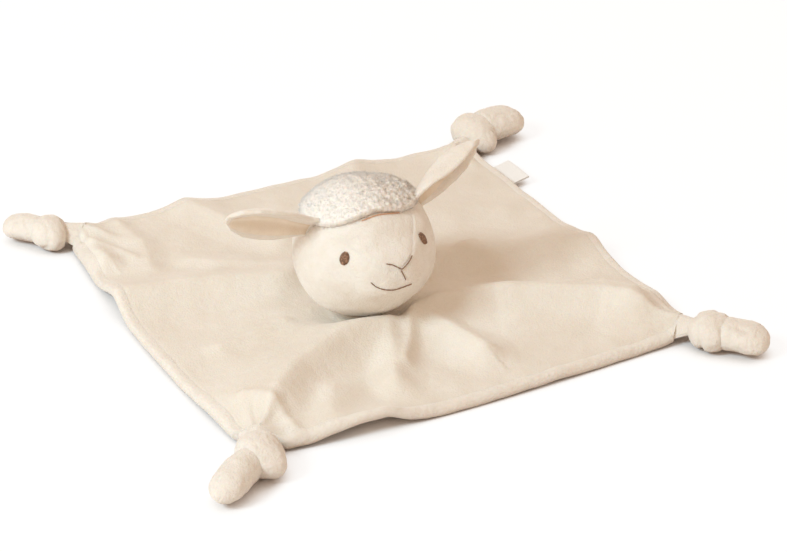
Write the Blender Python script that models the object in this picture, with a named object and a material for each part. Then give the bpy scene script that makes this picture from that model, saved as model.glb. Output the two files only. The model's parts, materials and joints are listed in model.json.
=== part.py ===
"""Comfort blanket lovey: a stuffed lamb's head sewn on a two-layer blanket with four knotted corners.

Metres, +Z up. The origin is the middle of the blanket's flat underside, which lies on the floor.
The face looks along -Y, and +X is to the right of someone who faces the lamb.
"""

import math

import bmesh
import bpy
from mathutils import Matrix, Vector

# Gaps between pieces, and the height that the corners keep over the floor
CLEARANCE = 0.0003
SEAM_GAP = 0.0006
FLOOR_GAP = 0.0001

# Blanket: a plush backing whose edge rolls up round a velour top
BLANKET_HALF = 0.1325
BACKING_THICKNESS = 0.0035
TOP_THICKNESS = 0.0022
ROLL_WIDTH = 0.0060
LEFT_BOW = 0.0065
FRONT_BOW = 0.0075
FRONT_BOW_SKEW_SHARE = 0.55
CORNER_CUT = 0.0125
INNER_CELLS = 18
# insets of the roll's grid lines, and the heights of its upper and lower face there
ROLL_INSET_SHARES = (0.0, 0.45, 0.92, 1.0)
ROLL_TOP_SHARES = (0.55, 1.0, 0.97)
ROLL_BOTTOM_SHARES = (0.40, 0.0, 0.0)

# Folds that run out from the neck
FOLD_HEIGHT = 0.0160
FOLD_WIDTH = 0.0165
FOLD_BLEND_POWER = 3.0
FOLD_FLAT = 0.0007
FOLD_ROOM_RADIUS = 0.022
FOLD_ROOM_RUN = 0.024
CORNER_EASE = 0.030
# height share, width shares on the left and right of the course, and its points as shares of the half side
FOLD_SHARES = (
    (0.95, 1.20, 0.80, ((0.00, -0.41), (0.33, -0.47), (0.55, -0.57), (0.73, -0.67), (0.84, -0.80))),
    (0.60, 0.65, 0.75, ((-0.01, -0.41), (0.06, -0.58), (0.11, -0.79))),
    (0.50, 0.60, 0.60, ((-0.13, -0.42), (-0.21, -0.62), (-0.31, -0.84))),
    (0.90, 0.85, 1.60, ((-0.15, -0.44), (-0.385, -0.50), (-0.63, -0.64), (-0.86, -0.84))),
    (0.60, 0.80, 1.30, ((-0.32, 0.10), (-0.76, 0.235), (-1.05, 0.28))),
    (0.35, 0.70, 0.70, ((-0.28, 0.20), (-0.62, 0.44))),
    (0.50, 1.20, 0.90, ((0.36, -0.02), (0.70, -0.10), (1.05, -0.20))),
    (0.50, 0.70, 0.70, ((-0.93, 0.86), (-0.88, 0.66), (-0.90, 0.42))),
    (0.40, 0.90, 0.90, ((-0.56, -0.80), (-0.70, -1.08))),
    (0.36, 0.80, 0.80, ((-0.70, -1.05), (-0.42, -1.05))),
    (0.40, 0.90, 0.90, ((0.10, 0.42), (0.30, 0.80), (0.45, 1.04))),
    (0.35, 0.80, 0.80, ((-0.20, 0.45), (-0.36, 0.80), (-0.45, 1.04))),
)

# Neck: a small stuffed ball between blanket and head, sewn down by a ring of thread
NECK_X = -0.0176
NECK_Y = -0.0205
NECK_RADIUS = 0.0105
NECK_HEIGHT = 0.0090
NECK_THREAD = 0.0004
NECK_SEGMENTS = 20
NECK_RINGS = 12
NECK_STITCH_SEGMENTS = 32
NECK_STITCH_SIDES = 6

# Head: it leans forward over the neck, turns and tilts to its right, in degrees, and a snout stands out of it
HEAD_LEAN = 18.435
HEAD_TURN = -2.1
HEAD_TILT = -3.2
HEAD_SEAT = 0.0010
HEAD_HALF_X = 0.0385
HEAD_HALF_Y = 0.0368
HEAD_HALF_Z = 0.0369
SNOUT_REACH = 0.0085
SNOUT_LAT = 24.0
SNOUT_LON_SPREAD = 25.0
SNOUT_LAT_SPREAD = 20.0
CHEEK_REACH = 0.0014
CHEEK_LON = 47.0
CHEEK_LAT = 2.0
CHEEK_SPREAD = 26.0
COVER_THICKNESS = 0.0022
FLEECE_PILE = 0.0048
STUFFING_GAP = 0.0013
NECK_OPENING = 0.0116

# Cover seams, in degrees of longitude from the middle of the face and of latitude above the neck's equator
CROWN_SEGMENTS = 36
# share of the way from the top of the head to the seam, and the share of the pile's height there
CROWN_ROW_SHARES = ((0.0, 1.0), (0.30, 1.0), (0.60, 1.0), (0.82, 1.0), (0.94, 0.90), (1.0, 0.50))
GUSSET_COLUMNS = 14
CHEEK_COLUMNS = 10
BACK_COLUMNS = 14
STUFFING_SEGMENTS = 24
STUFFING_RINGS = 16
CROWN_EDGE = (
    (0, 75),
    (30, 71.5),
    (50, 65),
    (70, 53.5),
    (90, 43.5),
    (110, 35),
    (130, 24),
    (150, 10),
    (180, -2),
)
GUSSET_SEAM = ((28.0, 0.9), (33.8, 16.0), (37.2, 22.0), (41.8, 31.0), (46.8, 48.0), (53.5, 70))
BACK_SEAM_LON = 110.0
CHIN_ROWS = 8
GUSSET_ROWS = 5

# Ears: an outer leaf and a smaller lining leaf, on a round root
EAR_LENGTH = 0.0505
EAR_WIDTH = 0.0255
EAR_CUP = 0.0068
EAR_ARCH_SHARE = 0.6
EAR_OUTER = 0.0022
EAR_LINING = 0.0016
EAR_ROOT_RADIUS = 0.0046
EAR_ROOT_STAND = 0.0008
EAR_START_SHARE = 0.80
# share of the leaf's length, and the share of its width there
EAR_OUTLINE_SHARES = (
    (0.0, 0.24),
    (0.10, 0.41),
    (0.30, 0.82),
    (0.50, 1.00),
    (0.70, 0.94),
    (0.88, 0.64),
    (1.0, 0.20),
)
LINING_START_SHARE = 0.16
LINING_END_SHARE = 0.93
LINING_WIDTH_SHARE = 0.76
EAR_COLUMNS = 6
EAR_ROWS = 9
LINING_ROWS = 8
ROOT_SEGMENTS = 20
ROOT_RINGS = 14
EAR_LON = 93.7
EAR_LAT = 40.0
# the right ear is nearly folded in half: shares of the width that stays open, and of the cup
EAR_OPEN_SHARES = {"left": 1.0, "right": 0.52}
EAR_DEPTH_SHARES = {"left": 1.0, "right": 1.75}
# sign of X, direction of the leaf, and the side that its lining faces
EARS = {
    "left": (-1, (-0.955, 0.02, 0.30), (0.10, -0.80, -0.60)),
    "right": (1, (0.885, 0.25, 0.40), (0.40, -0.83, -0.37)),
}

# Embroidery on the face, in longitudes and latitudes
THREAD_RADIUS = 0.0005
STITCH_STAND = 0.00015
EYE_LON = 42.4
EYE_LAT = 35.2
EYE_HALF_WIDTH = 0.0024
EYE_HALF_HEIGHT = 0.0034
EYE_THICKNESS = 0.0007
EYE_COLUMNS = 4
EYE_ROWS = 5
STITCH_STEPS = 2
THREAD_SIDES = 1
NOSE_STITCH = ((-6.9, 34.2), (-2.9, 33.3), (0.7, 31.1), (3.7, 28.0), (6.8, 29.2), (11.4, 31.1), (16.5, 33.8))
LIP_STITCH = ((3.8, 26.0), (5.1, 23.6), (6.0, 20.4))
MOUTH_STITCH = (
    (-18.4, 21.3),
    (-15.5, 18.9),
    (-11.1, 16.7),
    (-5.6, 15.1),
    (0.0, 14.8),
    (5.1, 15.5),
    (10.3, 15.2),
)

# Knotted corners: a gathered sleeve that lifts at its start, the knot, and the loose tail beyond it
SLEEVE_LENGTH = 0.0075
SLEEVE_END_HALF_WIDTH = 0.0088
SLEEVE_END_HALF_HEIGHT = 0.0061
SLEEVE_BACK_TURN = 58.0
SLEEVE_ROLLER_SHARE = 0.4
SLEEVE_SEGMENTS = 16
SLEEVE_ROWS = 5
KNOT_REACH = 0.0165
KNOT_HALF_LENGTH = 0.0120
KNOT_HALF_WIDTH = 0.0136
KNOT_HALF_HEIGHT = 0.0114
KNOT_GROOVE = 0.0018
KNOT_GROOVE_WIDTH = 0.0032
# how the groove slants across and up for each step along the knot
GROOVE_ACROSS = 0.6
GROOVE_UP = 0.3
KNOT_SEGMENTS = 16
KNOT_RINGS = 10
TAIL_LENGTH = 0.0260
TAIL_HALF_WIDTH = 0.0110
TAIL_HALF_HEIGHT = 0.0082
# the root ball's radius as a share of the tail's half height, and how deep it sits in the knot
TAIL_ROOT_RADIUS_SHARE = 0.97
TAIL_ROOT_SINK = 0.0020
TAIL_ROOT_TURN = 50.0
TAIL_ROOT_SHARE = 0.70
TAIL_SEGMENTS = 14
TAIL_RINGS = 14
# share of the way from the tip to the root ball, then the shares of length, width and height there
TAIL_SHARES = (
    (0.00, 1.00, 0.00, 0.00),
    (0.12, 0.98, 0.42, 0.40),
    (0.26, 0.90, 0.76, 0.74),
    (0.42, 0.74, 0.98, 0.98),
    (0.60, 0.52, 0.96, 0.98),
    (0.80, 0.28, 0.80, 0.86),
)
# signs of X and Y, the corner's size share, the knot's turn and the tail's further turn in degrees
CORNERS = {
    "front_left": (-1, -1, 1.08, 14.0, -22.0),
    "front_right": (1, -1, 1.00, -18.0, 16.0),
    "back_right": (1, 1, 1.04, 0.0, -38.0),
    "back_left": (-1, 1, 0.92, 22.0, -30.0),
}

# Label: a folded ribbon held in the right edge, whose place is a share of the half side
LABEL_PLACE_SHARE = 0.6415
LABEL_WIDTH = 0.0250
LABEL_REACH = 0.0110
LABEL_PLY = 0.0004
LABEL_FOLD = 0.0004
LABEL_TILT = 14.0
LABEL_COLUMNS = 2
LABEL_PLY_ROWS = 5
LABEL_BEND_ROWS = 6


# Scene, materials and modelling helpers


def clear_scene():
    for thing in list(bpy.data.objects):
        bpy.data.objects.remove(thing)


def make_collection(name):
    collection = bpy.data.collections.new(name)
    bpy.context.scene.collection.children.link(collection)
    return collection


def make_material(name, colour, roughness):
    material = bpy.data.materials.new(name)
    material.use_nodes = True
    shader = material.node_tree.nodes["Principled BSDF"]
    shader.inputs["Base Color"].default_value = (*colour, 1.0)
    shader.inputs["Roughness"].default_value = roughness
    shader.inputs["Metallic"].default_value = 0.0
    return material


def object_from(name, shape, material, collection):
    """A smooth shaded object from a closed bmesh, with its faces pointing out."""
    bmesh.ops.recalc_face_normals(shape, faces=shape.faces)
    if shape.calc_volume(signed=True) < 0.0:
        bmesh.ops.reverse_faces(shape, faces=shape.faces)
    mesh = bpy.data.meshes.new(name)
    shape.to_mesh(mesh)
    shape.free()
    mesh.shade_smooth()
    thing = bpy.data.objects.new(name, mesh)
    thing.data.materials.append(material)
    collection.objects.link(thing)
    return thing


def slab(columns, rows, place, fanned=False):
    """A closed slab: place(u, v, depth) lays its outer face at a depth of 0 and its inner face at 1.

    The diagonals of a fanned slab's squares run from its middle towards its corners.
    """
    shape = bmesh.new()
    bmesh.ops.create_grid(shape, x_segments=columns, y_segments=rows, size=1.0)
    if fanned:
        middles = [(face, face.calc_center_median()) for face in shape.faces]
        crossed = [face for face, middle in middles if middle.x * middle.y < 0.0]
        bmesh.ops.triangulate(shape, faces=crossed, quad_method="ALTERNATE")
    squares = [face for face in shape.faces if len(face.verts) > 3]
    bmesh.ops.triangulate(shape, faces=squares, quad_method="FIXED")
    inner = bmesh.ops.extrude_face_region(shape, geom=shape.faces[:])["geom"]
    for vertex in inner:
        if isinstance(vertex, bmesh.types.BMVert):
            vertex.co.z = 1.0
    for vertex in shape.verts:
        vertex.co = place(vertex.co.x, vertex.co.y, vertex.co.z)
    return shape


def ball(segments, rings, place):
    """A sphere whose points lie where place(direction) says."""
    shape = bmesh.new()
    bmesh.ops.create_uvsphere(shape, u_segments=segments, v_segments=rings, radius=1.0)
    for vertex in shape.verts:
        vertex.co = place(vertex.co.normalized())
    return shape


def thread(name, points, radius, material, collection):
    """A round thread through the points, with filled ends."""
    curve = bpy.data.curves.new(name, "CURVE")
    curve.dimensions = "3D"
    curve.bevel_depth = radius
    curve.bevel_resolution = THREAD_SIDES
    curve.use_fill_caps = True
    spline = curve.splines.new("POLY")
    spline.points.add(len(points) - 1)
    for spot, point in zip(spline.points, points):
        spot.co = (*point, 1.0)
    thing = bpy.data.objects.new(name, curve)
    thing.data.materials.append(material)
    collection.objects.link(thing)
    return thing


def combine(thing, other, operation):
    modifier = thing.modifiers.new(operation.lower() + " " + other.name, "BOOLEAN")
    modifier.operation = operation
    modifier.object = other
    modifier.solver = "EXACT"


def as_cutter(thing):
    thing.hide_render = True
    thing.display_type = "WIRE"
    return thing


def smooth_share(value):
    """0 below 0, 1 above 1, and an even rise in between."""
    held = min(1.0, max(0.0, value))
    return held * held * (3.0 - 2.0 * held)


def mix(low, high, share):
    return low + (high - low) * share


def bell(value, spread):
    return math.exp(-((value / spread) ** 2))


def round_bell(value, spread):
    """A bell with a broad top, which is half as high at the spread."""
    return 1.0 / (1.0 + (value / spread) ** 4)


def read_table(table, value, column=1):
    """One column of a table at a value of its first column, in straight runs."""
    for low, high in zip(table, table[1:]):
        if value <= high[0]:
            share = max(0.0, (value - low[0]) / (high[0] - low[0]))
            return mix(low[column], high[column], share)
    return table[-1][column]


# Blanket


def blanket_top():
    """The top of the blanket where it lies flat."""
    return BACKING_THICKNESS + CLEARANCE + TOP_THICKNESS


def corner_reach():
    """Distance of each corner cut from the blanket's middle."""
    return BLANKET_HALF * math.sqrt(2.0) - CORNER_CUT


def distance_to(course, x, y):
    """Distance from a course, and on which side of it the point lies."""
    best = None
    for (ax, ay), (bx, by) in zip(course, course[1:]):
        run_x = bx - ax
        run_y = by - ay
        share = ((x - ax) * run_x + (y - ay) * run_y) / (run_x**2 + run_y**2)
        held = min(1.0, max(0.0, share))
        gap = math.hypot(x - ax - held * run_x, y - ay - held * run_y)
        side = run_x * (y - ay) - run_y * (x - ax)
        if best is None or gap < best[0]:
            best = (gap, side)
    return best


def fold_lift(x, y):
    """How far the folds lift the blanket off the floor."""
    total = 0.0
    for height_share, left_share, right_share, shares in FOLD_SHARES:
        course = [(px * BLANKET_HALF, py * BLANKET_HALF) for px, py in shares]
        gap, side = distance_to(course, x, y)
        width = FOLD_WIDTH * (left_share if side > 0 else right_share)
        lift = FOLD_HEIGHT * height_share * bell(gap, width)
        total += lift**FOLD_BLEND_POWER
    lift = max(0.0, total ** (1.0 / FOLD_BLEND_POWER) - FOLD_FLAT)
    from_neck = math.hypot(x - NECK_X, y - NECK_Y)
    lift *= smooth_share((from_neck - FOLD_ROOM_RADIUS) / FOLD_ROOM_RUN)
    from_corner = corner_reach() - (abs(x) + abs(y)) / math.sqrt(2.0)
    return lift * smooth_share(from_corner / CORNER_EASE)


def outline(share_x, share_y):
    """Left, right, front and back edge at a share of the half side across and along."""
    left = -BLANKET_HALF - LEFT_BOW * (1.0 - share_y**2)
    skew = 1.0 - FRONT_BOW_SKEW_SHARE * share_x
    front = -BLANKET_HALF - FRONT_BOW * (1.0 - share_x**2) * skew
    return left, BLANKET_HALF, front, BLANKET_HALF


def between_edges(low, high, line, lines, inset):
    """Where a grid line lies between two edges; line 0 and the last line are drawn in by the inset."""
    return mix(low + inset, high - inset, line / lines)


def blanket_spot(column, row, cells, inset):
    """X and Y of a crossing of the even grid inside an inset."""
    share_x = 2.0 * column / cells - 1.0
    share_y = 2.0 * row / cells - 1.0
    left, right, front, back = outline(share_x, share_y)
    return between_edges(left, right, column, cells, inset), between_edges(front, back, row, cells, inset)


def grid_index(value, cells):
    return round((value + 1.0) / 2.0 * cells)


def top_place(u, v, depth):
    """The velour top, just inside the roll."""
    column = grid_index(u, INNER_CELLS)
    row = grid_index(v, INNER_CELLS)
    x, y = blanket_spot(column, row, INNER_CELLS, ROLL_WIDTH)
    if column in (0, INNER_CELLS):
        x -= math.copysign(CLEARANCE, x)
    if row in (0, INNER_CELLS):
        y -= math.copysign(CLEARANCE, y)
    return Vector((x, y, blanket_top() - TOP_THICKNESS * depth + fold_lift(x, y)))


def backing_place(u, v, depth):
    """The backing: a flat tray whose outer three grid lines make the roll."""
    ring_count = len(ROLL_INSET_SHARES) - 1
    cells = INNER_CELLS + 2 * ring_count
    column = grid_index(u, cells)
    row = grid_index(v, cells)
    ring = min(column, row, cells - column, cells - row, ring_count)
    inner_column = min(INNER_CELLS, max(0, column - ring_count))
    inner_row = min(INNER_CELLS, max(0, row - ring_count))
    x, y = blanket_spot(inner_column, inner_row, INNER_CELLS, ROLL_WIDTH)
    x += outward_step(column, cells, ring_count)
    y += outward_step(row, cells, ring_count)
    height = 0.0
    if ring < ring_count:
        height = blanket_top() * (ROLL_BOTTOM_SHARES[ring] if depth else ROLL_TOP_SHARES[ring])
    elif not depth:
        height = BACKING_THICKNESS
    return Vector((x, y, height + fold_lift(x, y)))


def outward_step(line, cells, ring_count):
    """How far one of the roll's grid lines lies outside the roll's inner line."""
    if line < ring_count:
        return -ROLL_WIDTH * (1.0 - ROLL_INSET_SHARES[line])
    if cells - line < ring_count:
        return ROLL_WIDTH * (1.0 - ROLL_INSET_SHARES[cells - line])
    return 0.0


def cut_corners(shape):
    """Takes the four points off a layer, where the gathered sleeves begin, and closes the cuts."""
    for sign_x, sign_y, *_ in CORNERS.values():
        outward = Vector((sign_x, sign_y, 0.0)).normalized()
        bmesh.ops.bisect_plane(
            shape,
            geom=shape.verts[:] + shape.edges[:] + shape.faces[:],
            plane_co=outward * corner_reach(),
            plane_no=outward,
            clear_outer=True,
        )
        rim = [edge for edge in shape.edges if edge.is_boundary]
        bmesh.ops.holes_fill(shape, edges=rim, sides=0)
    return shape


def build_blanket(lovey, materials):
    backing_cells = INNER_CELLS + 2 * (len(ROLL_INSET_SHARES) - 1)
    backing = cut_corners(slab(backing_cells, backing_cells, backing_place, fanned=True))
    object_from("backing_panel", backing, materials["plush"], lovey)
    top = cut_corners(slab(INNER_CELLS, INNER_CELLS, top_place, fanned=True))
    object_from("top_panel", top, materials["velour"], lovey)


# Neck


def neck_centre():
    return Vector((NECK_X, NECK_Y, NECK_HEIGHT))


def neck_ball(radius):
    centre = neck_centre()
    return ball(NECK_SEGMENTS, NECK_RINGS, lambda way: centre + way * radius)


def block_below(level, size):
    """A cube under a level, right below the neck."""
    centre = neck_centre()
    shape = bmesh.new()
    bmesh.ops.create_cube(shape, size=size)
    for vertex in shape.verts:
        vertex.co += Vector((centre.x, centre.y, level - size / 2.0))
    return shape


def build_neck(lovey, cutters, materials):
    velour = materials["velour"]
    centre = neck_centre()
    neck = object_from("neck_stub", neck_ball(NECK_RADIUS), velour, lovey)
    level = blanket_top() + CLEARANCE
    below = object_from("below_neck", block_below(level, 4.0 * NECK_RADIUS), velour, cutters)
    combine(neck, as_cutter(below), "DIFFERENCE")
    ring_level = level + NECK_THREAD
    radius_there = math.sqrt(NECK_RADIUS**2 - (centre.z - ring_level) ** 2)
    bpy.ops.mesh.primitive_torus_add(
        major_radius=radius_there + CLEARANCE + NECK_THREAD,
        minor_radius=NECK_THREAD,
        major_segments=NECK_STITCH_SEGMENTS,
        minor_segments=NECK_STITCH_SIDES,
        location=(centre.x, centre.y, ring_level),
    )
    ring = bpy.context.object
    ring.name = "neck_stitching"
    ring.data.materials.append(materials["thread"])
    for holder in list(ring.users_collection):
        holder.objects.unlink(ring)
    lovey.objects.link(ring)
    room = object_from("room_for_neck", neck_ball(NECK_RADIUS + CLEARANCE), velour, cutters)
    return as_cutter(room)


# Head


def head_centre():
    return neck_centre() + head_turn() @ Vector((0.0, 0.0, HEAD_HALF_Z + HEAD_SEAT))


def head_turn():
    """How the head is held: its own up direction runs from the neck through the head's centre."""
    turn = Matrix.Rotation(math.radians(HEAD_TURN), 3, "Z")
    lean = Matrix.Rotation(math.radians(HEAD_LEAN), 3, "X")
    return turn @ lean @ Matrix.Rotation(math.radians(HEAD_TILT), 3, "Y")


def head_point(lon, lat, out):
    """A point of the head at a longitude and latitude in degrees, standing out of its bare form."""
    around = math.radians(lon)
    up = math.radians(lat)
    x = math.sin(around) * math.cos(up)
    y = -math.cos(around) * math.cos(up)
    z = math.sin(up)
    outward = Vector((x / HEAD_HALF_X, y / HEAD_HALF_Y, z / HEAD_HALF_Z)).normalized()
    turned = (lon + 180.0) % 360.0 - 180.0
    snout = SNOUT_REACH * round_bell(turned * math.cos(up), SNOUT_LON_SPREAD)
    snout *= round_bell(lat - SNOUT_LAT, SNOUT_LAT_SPREAD)
    cheek = CHEEK_REACH * bell((abs(turned) - CHEEK_LON) * math.cos(up), CHEEK_SPREAD)
    cheek *= bell(lat - CHEEK_LAT, CHEEK_SPREAD)
    form = Vector((x * HEAD_HALF_X, y * HEAD_HALF_Y, z * HEAD_HALF_Z))
    form += Vector((x, y, z)) * snout + outward * (cheek + out)
    return head_centre() + head_turn() @ form


def degrees_of(length):
    """The angle that a length covers on the head."""
    return math.degrees(length / HEAD_HALF_X)


def neck_lat():
    """The latitude of the rim of the neck opening."""
    return -math.degrees(math.acos(NECK_OPENING / HEAD_HALF_X))


def crown_lat(lon):
    return read_table(CROWN_EDGE, abs((lon + 180.0) % 360.0 - 180.0))


def crown_place(direction):
    """The wool cap: the ball's upper half is its outer face, the lower half its inner face."""
    rings = len(CROWN_ROW_SHARES) - 1
    from_top = math.acos(max(-1.0, min(1.0, direction.z))) / math.pi * 2.0 * rings
    lon = math.degrees(math.atan2(direction.x, -direction.y))
    edge = crown_lat(lon) + degrees_of(SEAM_GAP / 2.0)
    if from_top < rings + 0.5:
        share, pile_share = CROWN_ROW_SHARES[round(from_top)]
        return head_point(lon, mix(90.0, edge, share), FLEECE_PILE * pile_share)
    share = (2.0 * rings - from_top) / (rings - 1)
    return head_point(lon, mix(90.0, edge, share), -COVER_THICKNESS)


def seam_row(share, rows_share):
    """Latitude of a row of the cheeks on the face's seam: even rows below the nose, and even rows above."""
    nose = GUSSET_SEAM[0][0]
    top = GUSSET_SEAM[-1][0]
    if share < rows_share:
        return mix(neck_lat(), nose, share / rows_share)
    return mix(nose, top, (share - rows_share) / (1.0 - rows_share))


def gusset_place(u, v, depth):
    """The forehead strip: v runs from the nose to the wool cap, u across it."""
    share = (v + 1.0) / 2.0
    half_gap = degrees_of(SEAM_GAP / 2.0)
    seam_top_lat, seam_top_lon = GUSSET_SEAM[-1]
    side_lat = mix(GUSSET_SEAM[0][0], seam_top_lat, share)
    rise = crown_lat(u * seam_top_lon) - seam_top_lat - half_gap
    lon = u * (read_table(GUSSET_SEAM, side_lat) - half_gap / math.cos(math.radians(side_lat)))
    return head_point(lon, side_lat + rise * share, -COVER_THICKNESS * depth)


def cheek_place(side):
    """A cheek, from the face's middle seam back to behind the ear's root."""
    rows_share = CHIN_ROWS / (CHIN_ROWS + GUSSET_ROWS)
    seam_top_lat, seam_top_lon = GUSSET_SEAM[-1]

    def place(u, v, depth):
        share = (v + 1.0) / 2.0
        half_gap = degrees_of(SEAM_GAP / 2.0)
        side_lat = seam_row(share, rows_share)
        front = half_gap / math.cos(math.radians(side_lat))
        if share > rows_share - 0.5 / (CHIN_ROWS + GUSSET_ROWS):
            front += read_table(GUSSET_SEAM, side_lat)
        back = BACK_SEAM_LON - half_gap / math.cos(math.radians(side_lat))
        top_lon = mix(seam_top_lon, BACK_SEAM_LON, (u + 1.0) / 2.0)
        rise = crown_lat(top_lon) - seam_top_lat - half_gap
        lon = mix(front, back, (u + 1.0) / 2.0)
        return head_point(side * lon, side_lat + rise * share, -COVER_THICKNESS * depth)

    return place


def back_place(u, v, depth):
    """The back of the head, between the seams behind the ears."""
    rows_share = CHIN_ROWS / (CHIN_ROWS + GUSSET_ROWS)
    half_gap = degrees_of(SEAM_GAP / 2.0)
    share = (v + 1.0) / 2.0
    side_lat = seam_row(share, rows_share)
    seam_top_lat = GUSSET_SEAM[-1][0]
    half = 180.0 - BACK_SEAM_LON
    rise = crown_lat(180.0 + u * half) - seam_top_lat - half_gap
    lon = 180.0 + u * (half - half_gap / math.cos(math.radians(side_lat)))
    return head_point(lon, side_lat + rise * share, -COVER_THICKNESS * depth)


def build_head(lovey, cutters, materials, neck_room):
    velour = materials["velour"]
    rows = CHIN_ROWS + GUSSET_ROWS
    crown_ball = ball(CROWN_SEGMENTS, 2 * (len(CROWN_ROW_SHARES) - 1), crown_place)
    crown = object_from("crown_fleece", crown_ball, materials["fleece"], lovey)
    object_from("forehead_gusset", slab(GUSSET_COLUMNS, GUSSET_ROWS, gusset_place), velour, lovey)
    back = object_from("back_of_head", slab(BACK_COLUMNS, rows, back_place), velour, lovey)
    core = ball(STUFFING_SEGMENTS, STUFFING_RINGS, stuffing_place(-COVER_THICKNESS - STUFFING_GAP))
    stuffing = object_from("head_stuffing", core, materials["filling"], lovey)
    combine(stuffing, neck_room, "DIFFERENCE")
    for side, (sign, *_) in EARS.items():
        cheek = object_from("cheek_" + side, slab(CHEEK_COLUMNS, rows, cheek_place(sign)), velour, lovey)
        radius = EAR_ROOT_RADIUS + CLEARANCE
        room = as_cutter(root_ball("room_for_ear_" + side, side, radius, velour, cutters))
        for piece in (cheek, crown, back, stuffing):
            combine(piece, room, "DIFFERENCE")


def stuffing_place(out):
    """Points of the stuffing core, given directions in the head's own frame."""

    def place(direction):
        lon = math.degrees(math.atan2(direction.x, -direction.y))
        lat = math.degrees(math.asin(max(-1.0, min(1.0, direction.z))))
        return head_point(lon, lat, out)

    return place


# Ears


def ear_frame(side):
    """Hinge point, and the directions along the leaf, across it and out of its lining."""
    sign, direction, facing = EARS[side]
    along = Vector(direction).normalized()
    facing = Vector(facing)
    facing = (facing - along * facing.dot(along)).normalized()
    hinge = head_point(sign * EAR_LON, EAR_LAT, EAR_ROOT_STAND)
    return hinge, along, along.cross(facing), facing


def root_ball(name, side, radius, material, collection):
    hinge = ear_frame(side)[0]
    shape = ball(ROOT_SEGMENTS, ROOT_RINGS, lambda way: hinge + way * radius)
    return object_from(name, shape, material, collection)


def ear_place(side, low, high, width_share, stand, thickness):
    """A leaf cupped towards its lining: v runs from the root share low to the share high."""
    hinge, along, across, facing = ear_frame(side)
    start = EAR_ROOT_RADIUS * EAR_START_SHARE
    half = EAR_WIDTH / 2.0 * EAR_OPEN_SHARES[side]
    cup = EAR_CUP * EAR_DEPTH_SHARES[side]

    def place(u, v, depth):
        share = mix(low, high, (v + 1.0) / 2.0)
        wide = read_table(EAR_OUTLINE_SHARES, share)
        aside = u * width_share * half * wide
        slope = 2.0 * cup * aside / half**2
        upright = (facing - across * slope).normalized()
        spot = along * mix(start, EAR_LENGTH, share) + across * aside
        spot += facing * cup * ((aside / half) ** 2 - EAR_ARCH_SHARE * wide**2)
        return hinge + spot + upright * (stand + thickness * depth)

    return place


def build_ears(lovey, cutters, materials):
    half = EAR_OUTER / 2.0
    for side in EARS:
        outer = slab(EAR_COLUMNS, EAR_ROWS, ear_place(side, 0.0, 1.0, 1.0, -half, EAR_OUTER))
        ear = object_from("ear_" + side, outer, materials["velour"], lovey)
        root = root_ball("root_of_ear_" + side, side, EAR_ROOT_RADIUS, materials["velour"], cutters)
        combine(ear, as_cutter(root), "UNION")
        stand = half + CLEARANCE
        place = ear_place(side, LINING_START_SHARE, LINING_END_SHARE, LINING_WIDTH_SHARE, stand, EAR_LINING)
        object_from("ear_lining_" + side, slab(EAR_COLUMNS, LINING_ROWS, place), materials["lining"], lovey)


# Face


def build_face(lovey, materials):
    for side, (sign, *_) in EARS.items():
        object_from("eye_" + side, slab(EYE_COLUMNS, EYE_ROWS, eye_place(sign)), materials["thread"], lovey)
    for name, course in (("nose", NOSE_STITCH), ("lip", LIP_STITCH), ("mouth", MOUTH_STITCH)):
        thread(name + "_stitch", stitch_points(course), THREAD_RADIUS, materials["thread"], lovey)


def eye_place(sign):
    """A satin stitched oval that follows the head."""

    def place(u, v, depth):
        round_u = u * math.sqrt(1.0 - v * v / 2.0)
        round_v = v * math.sqrt(1.0 - u * u / 2.0)
        lon = EYE_LON + degrees_of(round_u * EYE_HALF_WIDTH) / math.cos(math.radians(EYE_LAT))
        lat = EYE_LAT + degrees_of(round_v * EYE_HALF_HEIGHT)
        return head_point(sign * lon, lat, STITCH_STAND + EYE_THICKNESS * (1.0 - depth))

    return place


def stitch_points(course):
    """Points of a thread laid on the face along a course of longitudes and latitudes."""
    stand = THREAD_RADIUS + STITCH_STAND
    points = []
    for (lon, lat), (next_lon, next_lat) in zip(course, course[1:]):
        for step in range(STITCH_STEPS):
            share = step / STITCH_STEPS
            points.append(head_point(mix(lon, next_lon, share), mix(lat, next_lat, share), stand))
    points.append(head_point(*course[-1], stand))
    return points


# Knotted corners


def sideways(direction):
    return Vector((-direction.y, direction.x, 0.0))


def sleeve_radius():
    """Half the height of a sleeve at its start, which is as thick as the flat blanket."""
    return blanket_top() / 2.0 - FLOOR_GAP


def corner_frame(corner):
    """Hinge point of the sleeve, the directions of sleeve, knot and tail, and the corner's size share."""
    sign_x, sign_y, size_share, knot_turn, tail_turn = CORNERS[corner]
    outward = Vector((sign_x, sign_y, 0.0)).normalized()
    to_knot = Matrix.Rotation(math.radians(knot_turn), 3, "Z") @ outward
    to_tail = Matrix.Rotation(math.radians(tail_turn), 3, "Z") @ to_knot
    hinge = outward * (corner_reach() + CLEARANCE + sleeve_radius())
    hinge.z = blanket_top() / 2.0
    return hinge, outward, to_knot, to_tail, size_share


def knot_centre(corner):
    hinge, _, to_knot, _, size_share = corner_frame(corner)
    centre = hinge + to_knot * KNOT_REACH * size_share
    centre.z = KNOT_HALF_HEIGHT * size_share + FLOOR_GAP
    return centre


def tail_root_radius(corner):
    return TAIL_HALF_HEIGHT * TAIL_ROOT_RADIUS_SHARE * corner_frame(corner)[-1]


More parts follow.
